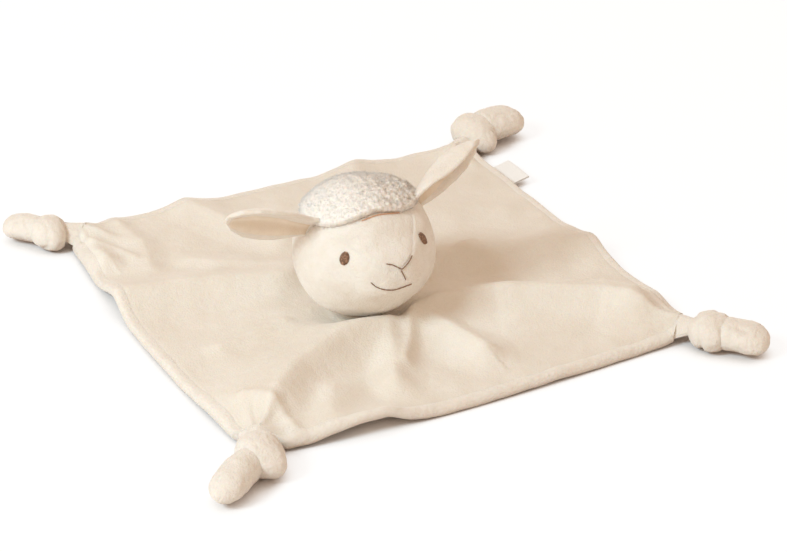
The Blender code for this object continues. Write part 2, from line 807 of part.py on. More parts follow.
def tail_hinge(corner):
    """The point on the knot's skin where the tail comes out, at the tail's own height."""
    _, _, to_knot, to_tail, size_share = corner_frame(corner)
    centre = knot_centre(corner)
    level = TAIL_HALF_HEIGHT * size_share + FLOOR_GAP
    drop = (level - centre.z) / (KNOT_HALF_HEIGHT * size_share)
    lengthwise = to_tail.dot(to_knot) / (KNOT_HALF_LENGTH * size_share)
    crosswise = to_tail.dot(sideways(to_knot)) / (KNOT_HALF_WIDTH * size_share)
    reach = math.sqrt(1.0 - drop**2) / math.hypot(lengthwise, crosswise) - TAIL_ROOT_SINK
    spot = centre + to_tail * reach
    spot.z = level
    return spot


def sleeve_place(corner):
    """A gathered tube: half a roller at the hinge, as flat as the blanket, then round towards the knot."""
    hinge, outward, to_knot, _, size_share = corner_frame(corner)
    radius = sleeve_radius()
    start_half = CORNER_CUT - CLEARANCE
    across = sideways(outward)

    def place(along, side, up):
        if along < SLEEVE_ROLLER_SHARE:
            turn = math.radians(SLEEVE_BACK_TURN) * (1.0 - along / SLEEVE_ROLLER_SHARE)
            spot = hinge - outward * radius * math.sin(turn)
            half_width = start_half - radius * (1.0 - math.cos(turn))
            half_height = radius * math.cos(turn)
        else:
            share = (along - SLEEVE_ROLLER_SHARE) / (1.0 - SLEEVE_ROLLER_SHARE)
            heading = outward.lerp(to_knot, share / 2.0)
            spot = hinge + heading * SLEEVE_LENGTH * size_share * share
            half_width = mix(start_half, SLEEVE_END_HALF_WIDTH, smooth_share(share))
            half_height = mix(radius, SLEEVE_END_HALF_HEIGHT, smooth_share(share))
            spot.z = half_height + FLOOR_GAP
        return spot + across * side * half_width + Vector((0.0, 0.0, up * half_height))

    return place


def gathered_sleeve(corner):
    shape = bmesh.new()
    sides = SLEEVE_SEGMENTS
    bmesh.ops.create_cone(shape, cap_ends=True, segments=sides, radius1=1.0, radius2=1.0, depth=1.0)
    upright = [edge for edge in shape.edges if edge.verts[0].co.z * edge.verts[1].co.z < 0.0]
    bmesh.ops.subdivide_edges(shape, edges=upright, cuts=SLEEVE_ROWS - 1)
    place = sleeve_place(corner)
    for vertex in shape.verts:
        vertex.co = place(vertex.co.z + 0.5, vertex.co.x, vertex.co.y)
    return shape


def knot_place(corner, swell):
    """A round lump with the slanting groove that the tied band leaves; swell makes it larger all round."""
    _, _, to_knot, _, size_share = corner_frame(corner)
    centre = knot_centre(corner)
    across = sideways(to_knot)
    up = Vector((0.0, 0.0, 1.0))
    slant = (to_knot + across * GROOVE_ACROSS + up * GROOVE_UP).normalized()
    groove = KNOT_GROOVE if swell == 0.0 else 0.0

    def place(direction):
        spot = to_knot * direction.x * (KNOT_HALF_LENGTH * size_share + swell)
        spot += across * direction.y * (KNOT_HALF_WIDTH * size_share + swell)
        spot += up * direction.z * (KNOT_HALF_HEIGHT * size_share + swell)
        dip = groove * bell(spot.dot(slant), KNOT_GROOVE_WIDTH)
        return centre + spot * (1.0 - dip / KNOT_HALF_WIDTH)

    return place


def tail_place(corner):
    """A lobe that flares from a round root at the knot; its height is less than its width."""
    _, _, _, to_tail, size_share = corner_frame(corner)
    hinge = tail_hinge(corner)
    across = sideways(to_tail)
    root = tail_root_radius(corner)
    length = TAIL_LENGTH * size_share
    half_width = TAIL_HALF_WIDTH * size_share
    half_height = TAIL_HALF_HEIGHT * size_share
    turn = math.radians(TAIL_ROOT_TURN)
    root_row = (1.0, root * math.cos(turn) / length, root * math.sin(turn) / half_width)
    root_row += (root * math.sin(turn) / half_height,)
    rows = TAIL_SHARES + (root_row,)

    def place(direction):
        from_tip = math.acos(max(-1.0, min(1.0, direction.z))) / math.pi
        around = Vector((direction.x, direction.y, 0.0))
        if around.length > 0.0:
            around.normalize()
        if from_tip < TAIL_ROOT_SHARE:
            share = from_tip / TAIL_ROOT_SHARE
            reach = length * read_table(rows, share, 1)
            wide = half_width * read_table(rows, share, 2)
            high = half_height * read_table(rows, share, 3)
        else:
            angle = mix(turn, math.pi, (from_tip - TAIL_ROOT_SHARE) / (1.0 - TAIL_ROOT_SHARE))
            reach = root * math.cos(angle)
            wide = root * math.sin(angle)
            high = wide
        return hinge + to_tail * reach + across * around.x * wide + Vector((0, 0, around.y * high))

    return place


def build_corners(lovey, cutters, materials):
    plush = materials["plush"]
    for corner in CORNERS:
        knot_shape = ball(KNOT_SEGMENTS, KNOT_RINGS, knot_place(corner, 0.0))
        knot = object_from("knot_" + corner, knot_shape, plush, lovey)
        knot_room = ball(KNOT_SEGMENTS, KNOT_RINGS, knot_place(corner, CLEARANCE))
        knot_room = object_from("room_for_knot_" + corner, knot_room, plush, cutters)
        sleeve = object_from("sleeve_" + corner, gathered_sleeve(corner), plush, lovey)
        combine(sleeve, as_cutter(knot_room), "DIFFERENCE")
        hinge = tail_hinge(corner)
        radius = tail_root_radius(corner) + CLEARANCE
        root_room = ball(ROOT_SEGMENTS, ROOT_RINGS, lambda way, hinge=hinge: hinge + way * radius)
        root_room = object_from("room_for_tail_" + corner, root_room, plush, cutters)
        combine(knot, as_cutter(root_room), "DIFFERENCE")
        object_from("tail_" + corner, ball(TAIL_SEGMENTS, TAIL_RINGS, tail_place(corner)), plush, lovey)


# Label


def label_root():
    """The label's hinge line, beside the blanket's right edge."""
    out = CLEARANCE + LABEL_FOLD / 2.0 + LABEL_PLY
    return Vector((BLANKET_HALF + out, LABEL_PLACE_SHARE * BLANKET_HALF, blanket_top() / 2.0))


def label_place(u, v, depth):
    """A ribbon folded in half: v runs out along the upper ply, round the fold and back."""
    row = grid_index(v, 2 * LABEL_PLY_ROWS + LABEL_BEND_ROWS)
    radius = LABEL_FOLD / 2.0 + LABEL_PLY * (1.0 - depth)
    turn = math.pi * min(1.0, max(0.0, (row - LABEL_PLY_ROWS) / LABEL_BEND_ROWS))
    from_root = min(row, 2 * LABEL_PLY_ROWS + LABEL_BEND_ROWS - row, LABEL_PLY_ROWS) / LABEL_PLY_ROWS
    reach = LABEL_REACH * from_root + math.sin(turn) * radius
    rise = math.cos(turn) * radius
    tilt = math.radians(LABEL_TILT)
    out = reach * math.cos(tilt) - rise * math.sin(tilt)
    up = reach * math.sin(tilt) + rise * math.cos(tilt)
    return label_root() + Vector((out, u * LABEL_WIDTH / 2.0, up))


def build_label(lovey, materials):
    rows = 2 * LABEL_PLY_ROWS + LABEL_BEND_ROWS
    object_from("edge_label", slab(LABEL_COLUMNS, rows, label_place), materials["ribbon"], lovey)


def main():
    clear_scene()
    lovey = make_collection("comfort_blanket_lovey")
    cutters = make_collection("cutters")
    materials = {
        "velour": make_material("velour", (0.80, 0.69, 0.55), 0.90),
        "plush": make_material("plush", (0.83, 0.74, 0.61), 0.95),
        "fleece": make_material("fleece", (0.86, 0.80, 0.70), 0.95),
        "lining": make_material("ear lining", (0.72, 0.53, 0.38), 0.85),
        "filling": make_material("fibre filling", (0.88, 0.88, 0.86), 1.00),
        "thread": make_material("brown thread", (0.17, 0.09, 0.05), 0.60),
        "ribbon": make_material("white ribbon", (0.88, 0.87, 0.85), 0.50),
    }
    build_blanket(lovey, materials)
    build_corners(lovey, cutters, materials)
    neck_room = build_neck(lovey, cutters, materials)
    build_head(lovey, cutters, materials, neck_room)
    build_ears(lovey, cutters, materials)
    build_face(lovey, materials)
    build_label(lovey, materials)


main()
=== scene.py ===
"""Dresses the frame of the comfort blanket lovey with cloth, pile, stitches and ribbon.

Metres, +Z up. The origin is the middle of the blanket's underside, the face looks along -Y, left is -X.
Run it as a script or from Blender's text editor: it loads the frame and lays each soft piece on it.
"""

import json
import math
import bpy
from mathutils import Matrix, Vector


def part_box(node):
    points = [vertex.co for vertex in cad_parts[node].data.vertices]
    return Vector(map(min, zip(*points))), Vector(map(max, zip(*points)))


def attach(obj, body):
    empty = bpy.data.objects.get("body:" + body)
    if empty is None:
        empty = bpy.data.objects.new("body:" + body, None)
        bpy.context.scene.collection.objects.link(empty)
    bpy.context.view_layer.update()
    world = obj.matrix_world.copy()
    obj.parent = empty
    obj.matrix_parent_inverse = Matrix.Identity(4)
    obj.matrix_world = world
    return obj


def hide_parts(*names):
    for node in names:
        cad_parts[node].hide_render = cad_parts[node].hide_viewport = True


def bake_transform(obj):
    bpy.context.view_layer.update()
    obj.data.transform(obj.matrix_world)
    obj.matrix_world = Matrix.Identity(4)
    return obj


bl_info = {
    "name": "Comfort blanket lovey",
    "version": (1, 0, 0),
    "blender": (4, 5, 0),
    "location": "3D View > Sidebar > Lovey",
    "description": "Dresses the comfort blanket's frame with cloth, pile and stitches",
    "category": "Object",
}

from contextlib import contextmanager

import bpy
import numpy as np
from mathutils import Matrix, Vector

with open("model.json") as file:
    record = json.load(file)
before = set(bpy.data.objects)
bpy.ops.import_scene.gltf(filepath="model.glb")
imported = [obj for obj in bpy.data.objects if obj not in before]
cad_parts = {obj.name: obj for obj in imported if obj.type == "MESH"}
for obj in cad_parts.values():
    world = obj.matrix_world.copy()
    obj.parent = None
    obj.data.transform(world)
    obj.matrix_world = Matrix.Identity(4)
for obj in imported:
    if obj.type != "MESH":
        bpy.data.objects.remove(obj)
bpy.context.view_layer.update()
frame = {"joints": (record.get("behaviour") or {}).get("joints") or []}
JOINT_PLACES = {joint["name"]: Vector(joint["pos_m"]) for joint in frame["joints"]}
JOINT_AXES = {joint["name"]: Vector(joint["axis"]) for joint in frame["joints"]}

UP = Vector((0.0, 0.0, 1.0))
SIDES = {"left": -1, "right": 1}
RIM_ANGLE = math.radians(62.0)

# The blanket, as the frame holds it
BLANKET_HALF = 0.1325
BACKING_THICKNESS = 0.0035
TOP_THICKNESS = 0.0022
LAYER_GAP = 0.0003
BLANKET_TOP = BACKING_THICKNESS + LAYER_GAP + TOP_THICKNESS
ROLL_WIDTH = 0.0060
LEFT_BOW = 0.0065
FRONT_BOW = 0.0075
FRONT_BOW_SKEW = 0.55
CORNER_CUT = 0.0125
CORNER_REACH = BLANKET_HALF * math.sqrt(2.0) - CORNER_CUT
TOP_INSET = ROLL_WIDTH - 0.0009
TOP_TUCK = 0.0003
TOP_CELLS = 210

FOLD_HEIGHT = 0.0165
FOLD_WIDTH = 0.0165
FOLD_SHARPNESS = 1.55
FOLD_POWER = 3.0
FOLD_FLAT = 0.0007
FOLD_ROOM_RADIUS = 0.0232
FOLD_ROOM_RUN = 0.024
CORNER_EASE = 0.030
# height share, width shares left and right of the course, and its points as shares of the half side
FOLDS = (
    (0.95, 1.20, 0.80, ((0.00, -0.41), (0.33, -0.47), (0.55, -0.57), (0.73, -0.67), (0.84, -0.80))),
    (0.60, 0.65, 0.75, ((-0.01, -0.41), (0.06, -0.58), (0.11, -0.79))),
    (0.50, 0.60, 0.60, ((-0.13, -0.42), (-0.21, -0.62), (-0.31, -0.84))),
    (0.90, 0.85, 1.60, ((-0.15, -0.44), (-0.385, -0.50), (-0.63, -0.64), (-0.86, -0.84))),
    (0.60, 0.80, 1.30, ((-0.32, 0.10), (-0.76, 0.235), (-1.05, 0.28))),
    (0.35, 0.70, 0.70, ((-0.28, 0.20), (-0.62, 0.44))),
    (0.50, 1.20, 0.90, ((0.36, -0.02), (0.70, -0.10), (1.05, -0.20))),
    (0.50, 0.60, 0.50, ((-0.97, 0.92), (-0.965, 0.72), (-0.95, 0.60))),
    (0.40, 0.90, 0.90, ((-0.56, -0.80), (-0.70, -1.08))),
    (0.50, 0.80, 0.80, ((-0.72, -1.05), (-0.46, -1.06))),
    (0.40, 0.90, 0.90, ((0.10, 0.42), (0.30, 0.80), (0.45, 1.04))),
    (0.35, 0.80, 0.80, ((-0.20, 0.45), (-0.36, 0.80), (-0.45, 1.04))),
)

# small creases between the folds: height, width and course in the same shares
CREASES = (
    (0.0040, 0.0042, ((-0.04, -0.45), (-0.12, -0.60), (-0.22, -0.75))),
    (0.0036, 0.0075, ((-0.78, 0.96), (-0.74, 0.72), (-0.80, 0.46))),
    (0.0030, 0.0040, ((-0.95, 0.80), (-0.86, 0.68), (-0.83, 0.58))),
    (0.0030, 0.0040, ((-0.90, -0.72), (-0.82, -0.86), (-0.80, -0.98))),
    (0.0028, 0.0050, ((0.22, -0.12), (0.36, -0.05), (0.50, 0.02))),
    (0.0025, 0.0045, ((0.86, -0.72), (0.70, -0.50))),
    (0.0025, 0.0060, ((-0.50, -0.20), (-0.80, -0.26))),
)
# how the cloth rises to each knot, on a ridge along the corner's diagonal
GATHER_HEIGHT = 0.0060
GATHER_WIDTH = 0.0085
GATHER_RUN = 0.030
# the pleats that fan out from each knot: count, phase, distance and reach, and half their fan
FAN_COUNT = 9.0
FAN_PHASE = 0.6
FAN_MIDDLE = 0.016
FAN_REACH = 0.014
FAN_HALF = 1.1

# The backing's rolled edge: inset share, and shares of the blanket's height at its upper and lower face
ROLL_PROFILE = (
    (0.00, 0.56, 0.40),
    (0.08, 0.82, 0.16),
    (0.24, 0.98, 0.02),
    (0.50, 1.03, 0.00),
    (0.78, 1.01, 0.00),
    (0.95, 0.97, 0.00),
)
TRAY_CELLS = 120

# The head, as the frame holds it; longitudes run from mid-face, latitudes up from the equator
NECK = JOINT_PLACES["head_turn"]
NECK_RADIUS = 0.0105
NECK_OPENING = 0.0116
NECK_STITCH_COUNT = 24
NECK_STITCH_HALF_TURN = 0.09
HEAD_LEAN = math.radians(18.435)
HEAD_TURN = math.radians(-2.1)
HEAD_TILT = math.radians(-3.2)
HEAD_SEAT = 0.0010
HEAD_FILL_GAP = 0.0010
HEAD_HALF = np.array((0.0385, 0.0368, 0.0369))
SNOUT_REACH = 0.0085
SNOUT_LAT = 24.0
SNOUT_SPREAD = (25.0, 20.0)
CHEEK_REACH = 0.0014
CHEEK_LON = 47.0
CHEEK_LAT = 2.0
CHEEK_SPREAD = 26.0
DIMPLE = 0.0008
COVER_THICKNESS = 0.0022
WOOL_HEIGHT = 0.0048
WOOL_ROUNDING = 0.13
# the cap's lumps fade towards its smoother left: direction, start, run and least share
CLUMPY_SIDE = (0.82, -0.40, 0.0)
CLUMPY_START = -0.10
CLUMPY_RUN = 0.50
CLUMPY_LEAST = 0.22
PILE_PER_SQUARE_METRE = 1e6
PILE_LEAN = 0.45
PILE_CLUMP = 1.6
PILE_CLUMP_SIZE = 0.0030
PILE_SEED = 21
TUFT_RANGE = (0.7, 1.25)
CROWN_EDGE = (
    (0, 75),
    (30, 71.5),
    (50, 65),
    (70, 53.5),
    (90, 43.5),
    (110, 35),
    (130, 24),
    (150, 10),
    (180, -2),
)
GUSSET_SEAM = ((28.0, 0.9), (33.8, 16.0), (37.2, 22.0), (41.8, 31.0), (46.8, 48.0), (53.5, 70))
BACK_SEAM_LON = 110.0
CHIN_SHARE = 8.0 / 13.0

EAR_LENGTH = 0.0505
EAR_WIDTH = 0.0255
EAR_CUP = 0.0068
EAR_ARCH = 0.6
EAR_START = 0.0046 * 0.8
EAR_THICKNESS = 0.0022
LINING_THICKNESS = 0.0014
LINING_SUNK = 0.0004
# where leaf and lining start and end along the ear, and how far the leaf's skins stand off its middle
LEAF_ENDS = (-0.14, 1.0)
LINING_ENDS = (-0.04, 0.93)
LEAF_PLUMP = 0.0006
EAR_OUTLINE = (
    (0.0, 0.62),
    (0.10, 0.74),
    (0.30, 0.94),
    (0.50, 1.00),
    (0.70, 0.94),
    (0.88, 0.66),
    (1.0, 0.20),
)
EAR_DIRECTIONS = {
    "left": ((-0.955, 0.02, 0.30), (0.10, -0.80, -0.60)),
    "right": ((0.885, 0.25, 0.40), (0.40, -0.83, -0.37)),
}
# each ear's openness at its root and beyond: the right one is nearly folded in half
EAR_OPEN = {"left": (1.0, 1.0), "right": (0.95, 0.54)}
EAR_DEPTH = {"left": 1.0, "right": 1.75}
# where the lining starts and ends across each leaf
LINING_SIDES = {"left": (-0.84, 0.20), "right": (-0.78, 0.80)}

# Stitches on the face, in longitudes and latitudes
EYE_LON = 42.4
EYE_LAT = 35.2
EYE_HALF = (0.0024, 0.0034)
EYE_ROWS = 12
STITCH_LENGTH = 0.0030
STITCH_STAND = 0.0001
# radius and hump of the stitches of neck, eyes and lines
NECK_STITCH = (0.00035, 0.0)
EYE_STITCH = (0.00036, 0.0006)
LINE_STITCH = (0.00032, 0.00025)
NOSE_STITCH = (
    (-6.9, 34.2),
    (-2.9, 33.3),
    (0.7, 31.1),
    (3.7, 28.0),
    (6.8, 29.2),
    (11.4, 31.1),
    (16.5, 33.8),
)
LIP_STITCH = ((3.7, 27.4), (5.0, 24.0), (6.0, 20.4))
MOUTH_STITCH = (
    (-18.4, 21.3),
    (-15.5, 18.9),
    (-11.1, 16.7),
    (-5.6, 15.1),
    (0.0, 14.8),
    (5.1, 15.5),
    (10.3, 15.2),
)
# the painted shadow under the cap's edge, laid as a line of brown stitches: longitudes, drop below the
# edge, and slope
CAP_SEAM_SHADOW_LONS = range(-34, 54, 4)
CAP_SEAM_SHADOW_DROP = 2.5
CAP_SEAM_SHADOW_SLOPE = 0.014

# The knotted corners: signs of X and Y, size share, knot's turn and the tail's further turn in degrees
CORNERS = {
    "front_left": (-1, -1, 1.08, 14.0, -22.0),
    "front_right": (1, -1, 1.00, -18.0, 16.0),
    "back_right": (1, 1, 1.04, 0.0, -38.0),
    "back_left": (-1, 1, 0.92, 22.0, -30.0),
}
FLOOR_GAP = 0.0001
SLEEVE_LENGTH = 0.0075
SLEEVE_END = (0.0094, 0.0076)
KNOT_REACH = 0.0165
KNOT_HALF = (0.0120, 0.0136, 0.0114)
TAIL_LENGTH = 0.0260
TAIL_HALF = (0.0110, 0.0082)
KNOT_FULLNESS = 2.2
SLEEVE_RISE = 0.0016
SLEEVE_SUNK = 0.0040
SLEEVE_INSIDE = 0.0045
SLEEVE_PLEATS = 11.0
SLEEVE_PLEAT_DEPTH = 0.06
# how the sleeve narrows inside the knot: start, run and depth
SLEEVE_DOME = (0.0065, 0.0050, 0.85)
COVER_INSET = 0.0006
# lumps: pattern, size and height
CLOTH_LUMPS = (("CLOUDS", 0.0100, 0.0016), ("CLOUDS", 0.0030, 0.0005))
CAP_LUMPS = (("VORONOI", 0.0032, -0.0016), ("CLOUDS", 0.0065, 0.0014))
# the knot's strap: its slant across and up, and its two creases, each with its place and width
STRAP_SLANT = (0.6, 0.3)
STRAP_CREASES = ((-0.0060, 0.0013), (0.0064, 0.0012))
STRAP_DEPTH = (0.0011, 0.0008)
LOBE_DROP = -0.25
# each knot: shares along, across and up, shift in X and Y, its lobe's heading in degrees and reach
KNOTS = {
    "front_left": ((1.00, 0.82, 0.93), (0.0015, -0.0035), -60.0, 0.0045),
    "front_right": ((0.98, 0.96, 0.93), (-0.0018, -0.0012), -90.0, 0.0015),
    "back_right": ((1.02, 1.00, 0.96), (0.0025, -0.0015), -84.0, 0.0065),
    "back_left": ((1.00, 0.94, 0.94), (-0.0022, -0.0028), -84.0, 0.0030),
}
# each tail: its shares along, across and up, and its shift in X and Y
TAILS = {
    "front_left": ((1.00, 0.82, 1.00), (0.0010, -0.0035)),
    "front_right": ((0.88, 1.12, 1.04), (-0.0018, -0.0013)),
    "back_right": ((0.96, 1.24, 1.20), (0.0025, -0.0015)),
    "back_left": ((0.88, 1.04, 1.04), (-0.0020, -0.0029)),
}
# a tail from its tip to its root: share round the ball, then shares of length, width and height
TAIL_PROFILE = (
    (0.00, 1.000, 0.000, 0.000),
    (0.05, 0.983, 0.310, 0.300),
    (0.10, 0.935, 0.550, 0.530),
    (0.16, 0.860, 0.740, 0.710),
    (0.23, 0.760, 0.880, 0.840),
    (0.32, 0.640, 0.970, 0.930),
    (0.42, 0.500, 1.010, 0.980),
    (0.54, 0.340, 0.990, 1.020),
    (0.66, 0.180, 0.950, 1.060),
    (0.78, 0.020, 0.910, 1.080),
    (0.88, -0.120, 0.860, 1.040),
    (0.95, -0.25, 0.66, 0.82),
    (1.00, -0.36, 0.05, 0.05),
)
TAIL_FOLD_DEPTH = 0.09
TAIL_RISE = 0.0012

# The label, and the camera that sees the object as the photograph does
RIBBON_WIDTH = 0.0250
RIBBON_REACH = 0.0110
RIBBON_PLY = 0.0004
RIBBON_TILT = math.radians(14.0)
RIBBON_BEND = 0.16
RIBBON_BOW = 0.0005
CAMERA_PLACE = Vector((-0.51602, -1.03474, 0.62779))
CAMERA_TARGET = Vector((0.01312, -0.00333, 0.00564))
CAMERA_LENS = 107.62
SENSOR_WIDTH = 36.0

# Light and looks
TOWARD_LAMP = Vector((-0.97 * 0.766, -0.21 * 0.766, 0.643)).normalized()
LAMP_DISTANCE = 2.4
LAMP_COLOUR = (0.74, 0.91, 1.0)
ROOM_COLOUR = (0.630, 0.489, 0.380)
FLOOR_SIDE = 6.0
FLOOR_DROP = -0.0002
FLOOR_COLOURS = ((0.93, 0.93, 0.93), (0.96, 0.96, 0.96))
# painted shade: the darker, warmer colour that the floor throws back where the object hems it in
FLOOR_BOUNCE = (0.32, 0.20, 0.13)
FLOOR_GLOW = 1.06
WHITE = (1.0, 1.0, 1.0)
SHEEN_TINT = (1.0, 0.95, 0.89)
WOOL_TINT = (1.0, 0.89, 0.79)
HEAD_GAINS = (1.03, 1.03, 1.04)
SOFT_RADIUS = (0.004, 0.002, 0.001)


# What a user would change


def colour_property(name, description, default):
    return bpy.props.FloatVectorProperty(
        name=name, description=description, default=default, subtype="COLOR", size=3, min=0.0, max=1.0
    )


def length_property(name, description, default):
    return bpy.props.FloatProperty(
        name=name, description=description, default=default, min=0.0, unit="LENGTH", precision=5
    )


class LoveyColours(bpy.types.PropertyGroup):
    velour: colour_property("Velour", "Blanket top and head", (0.83, 0.785, 0.715))
    plush: colour_property("Plush", "Backing and knots", (0.855, 0.81, 0.745))
    wool: colour_property("Wool", "Cap on the head", (0.95, 0.915, 0.865))
    lining: colour_property("Ear lining", "Knit inside the ears", (0.88, 0.77, 0.65))
    thread: colour_property("Thread", "Eyes, nose and mouth", (0.23, 0.13, 0.08))
    ribbon: colour_property("Ribbon", "Folded label", (0.97, 0.97, 0.96))
    filling: colour_property("Filling", "Fibre in the head", (0.85, 0.85, 0.83))


class LoveySizes(bpy.types.PropertyGroup):
    wrinkle: length_property("Wrinkle", "Height of the blanket's small wrinkles", 0.0006)
    pleat: length_property("Pleat", "Height of the pleats that gather each corner", 0.0020)
    seam: length_property("Seam", "Depth of the valleys along the head's seams", 0.0004)
    wool_pile: length_property("Wool pile", "Length of the cap's tufts", 0.0016)
    tuft: length_property("Tuft", "Radius of a tuft at its root", 0.00013)


class LoveyStage(bpy.types.PropertyGroup):
    key: bpy.props.FloatProperty(
        name="Key", description="Key lamp", default=36.6, min=0.0, unit="POWER"
    )
    fill: bpy.props.FloatProperty(
        name="Fill", description="Strength of the room's light", default=1.17, min=0.0
    )
    lamp_size: length_property("Lamp size", "Side of the key lamp", 0.63)


def colours():
    return bpy.context.scene.lovey_colours


def sizes():
    return bpy.context.scene.lovey_sizes


# Modelling with operators


def deselect_all():
    if bpy.context.object is not None and bpy.context.object.mode != "OBJECT":
        bpy.ops.object.mode_set(mode="OBJECT")
    bpy.ops.object.select_all(action="DESELECT")


def hold(piece):
    """Selects one piece alone and makes it the active one."""
    deselect_all()
    piece.select_set(True)
    bpy.context.view_layer.objects.active = piece


@contextmanager
def editing(piece, select="SELECT"):
    """Edit mode on one piece, after selecting all of it or none; with None its selection stays."""
    hold(piece)
    bpy.ops.object.mode_set(mode="EDIT")
    if select is not None:
        bpy.ops.mesh.select_all(action=select)
    yield
    bpy.ops.object.mode_set(mode="OBJECT")


def named(name):
    """Names the object that an operator has just added."""
    piece = bpy.context.object
    piece.name = name
    piece.data.name = name
    return piece


def points_of(piece):
    points = np.empty(len(piece.data.vertices) * 3)
    piece.data.vertices.foreach_get("co", points)
    return points.reshape(-1, 3)


def lay_out(piece, place):
    """Moves every point of a piece where place(points) says, then points the faces outwards."""
    piece.data.vertices.foreach_set("co", place(points_of(piece)).ravel())
    piece.data.update()
    faces_out(piece)
    return piece


def faces_out(piece):
    with editing(piece):
        bpy.ops.mesh.normals_make_consistent(inside=False)
    if volume(piece) < 0.0:
        with editing(piece):
            bpy.ops.mesh.flip_normals()
    bpy.ops.object.shade_smooth_by_angle(angle=RIM_ANGLE)


def volume(piece):
    """Six times the signed volume of a closed piece."""
    mesh = piece.data
    mesh.calc_loop_triangles()
    corners = np.empty(len(mesh.loop_triangles) * 3, dtype=np.int32)
    mesh.loop_triangles.foreach_get("vertices", corners)
    a, b, c = points_of(piece)[corners.reshape(-1, 3)].transpose(1, 0, 2)
    return float((a * np.cross(b, c)).sum())


def slab(name, columns, rows, place):
    """A closed sheet from one grid: place(u, v, depth) lays its outer face at 0, its inner at 1."""
    deselect_all()
    bpy.ops.mesh.primitive_grid_add(x_subdivisions=columns, y_subdivisions=rows, size=2.0)
    with editing(bpy.context.object):
        bpy.ops.mesh.extrude_region_move(TRANSFORM_OT_translate={"value": (0.0, 0.0, 1.0)})
    return lay_out(named(name), lambda points: place(*points.T))


def ball(name, segments, rings, place):
    """A sphere whose points lie where place(x, y, z) says, given directions from its middle."""
    deselect_all()
    bpy.ops.mesh.primitive_uv_sphere_add(segments=segments, ring_count=rings, radius=1.0)
    return lay_out(named(name), lambda points: place(*points.T))


def upright(kind, **settings):
    """Adds a cone or cylinder of one row, one unit high, that stands on the origin."""
    deselect_all()
    add = getattr(bpy.ops.mesh, f"primitive_{kind}_add")
    add(depth=1.0, location=(0.0, 0.0, 0.5), **settings)
    bpy.ops.object.transform_apply(location=True)


def tube(name, segments, place):
    """A capped tube of two rings: place(along, x, y) gets 0 or 1 and a point of the unit circle."""
    upright("cylinder", vertices=segments, radius=1.0)
    return lay_out(named(name), lambda points: place(points[:, 2], points[:, 0], points[:, 1]))


def apply_modifier(piece, kind, **settings):
    hold(piece)
    modifier = piece.modifiers.new(kind.lower(), kind)
    for name, value in settings.items():
        setattr(modifier, name, value)
    bpy.ops.object.modifier_apply(modifier=modifier.name)
    return piece


def lumps(piece, layers, shares=None):
    """Pushes a piece's skin in and out: soft clouds, or the round cells of a Voronoi pattern."""
    for kind, size, height in layers:
        pattern = bpy.data.textures.new("lumps", kind)
        pattern.noise_scale = size
        settings = {"texture": pattern, "texture_coords": "LOCAL", "strength": height, "mid_level": 0.5}
        if shares is not None:
            made = piece.vertex_groups.new(name="lumpy")
            for number, share in enumerate(shares):
                made.add([number], float(share), "REPLACE")
            settings["vertex_group"] = made.name
        apply_modifier(piece, "DISPLACE", **settings)


def copy_of(piece, name):
    hold(piece)
    bpy.ops.object.duplicate()
    return named(name)


def dress(piece, material):
    """Gives every face of a piece one material."""
    piece.data.materials.clear()
    piece.data.materials.append(material)
    faces = piece.data.polygons
    faces.foreach_set("material_index", np.zeros(len(faces), dtype=np.int32))


# Shape helpers


def soft_step(value):
    held = np.clip(value, 0.0, 1.0)
    return held * held * (3.0 - 2.0 * held)


def unit(value):
    """Spreads -1 to 1 over 0 to 1."""
    return (value + 1.0) / 2.0


def mix(low, high, share):
    return low + (high - low) * share


def bell(value, spread):
    return np.exp(-((value / spread) ** 2))


def round_bell(value, spread):
    return 1.0 / (1.0 + (value / spread) ** 4)


def read_table(table, value, column=1):
    rows = np.array(table, dtype=float)
    return np.interp(value, rows[:, 0], rows[:, column])


def ripple(x, y, size, seed):
    """Soft even noise between -1 and 1 over the plan, from a few crossed waves."""
    draw = np.random.default_rng(seed)
    total = 0.0
    for _ in range(7):
        heading, phase = draw.uniform(0.0, math.tau, 2)
        pace = math.tau / (size * draw.uniform(0.7, 1.5))
        total = total + np.sin((x * math.cos(heading) + y * math.sin(heading)) * pace + phase)
    return total / 4.0


# Blanket


def distance_to(course, x, y):
    """Distance from a course of straight runs, and on which side of it each point lies."""
    gap = np.full_like(x, np.inf)
    side = np.zeros_like(x)
    for (ax, ay), (bx, by) in zip(course, course[1:]):
        run_x, run_y = bx - ax, by - ay
        share = np.clip(((x - ax) * run_x + (y - ay) * run_y) / (run_x**2 + run_y**2), 0.0, 1.0)
        here = np.hypot(x - ax - share * run_x, y - ay - share * run_y)
        nearer = here < gap
        gap = np.where(nearer, here, gap)
        side = np.where(nearer, run_x * (y - ay) - run_y * (x - ax), side)
    return gap, side


def room_for_head(x, y):
    """0 under the head, where the cloth lies flat, and 1 farther out."""
    return soft_step((np.hypot(x - NECK.x, y - NECK.y) - FOLD_ROOM_RADIUS) / FOLD_ROOM_RUN)


def fold_lift(x, y):
    """How far the folds lift the blanket off the floor."""
    total = np.zeros_like(x)
    for height_share, left_share, right_share, shares in FOLDS:
        gap, side = distance_to(np.array(shares) * BLANKET_HALF, x, y)
        width = FOLD_WIDTH * np.where(side > 0, left_share, right_share)
        crest = np.exp(-((gap / width) ** FOLD_SHARPNESS))
        total += (FOLD_HEIGHT * height_share * crest) ** FOLD_POWER
    lift = np.maximum(0.0, total ** (1.0 / FOLD_POWER) - FOLD_FLAT)
    lift *= room_for_head(x, y)
    from_corner = CORNER_REACH - (np.abs(x) + np.abs(y)) / math.sqrt(2.0)
    return lift * soft_step(from_corner / CORNER_EASE)


def crease_lift(x, y):
    """Narrow creases, which end softly and keep clear of the head."""
    total = np.zeros_like(x)
    for height, width, shares in CREASES:
        gap, _ = distance_to(np.array(shares) * BLANKET_HALF, x, y)
        total += height * np.exp(-((gap / width) ** FOLD_SHARPNESS))
    return total * room_for_head(x, y)


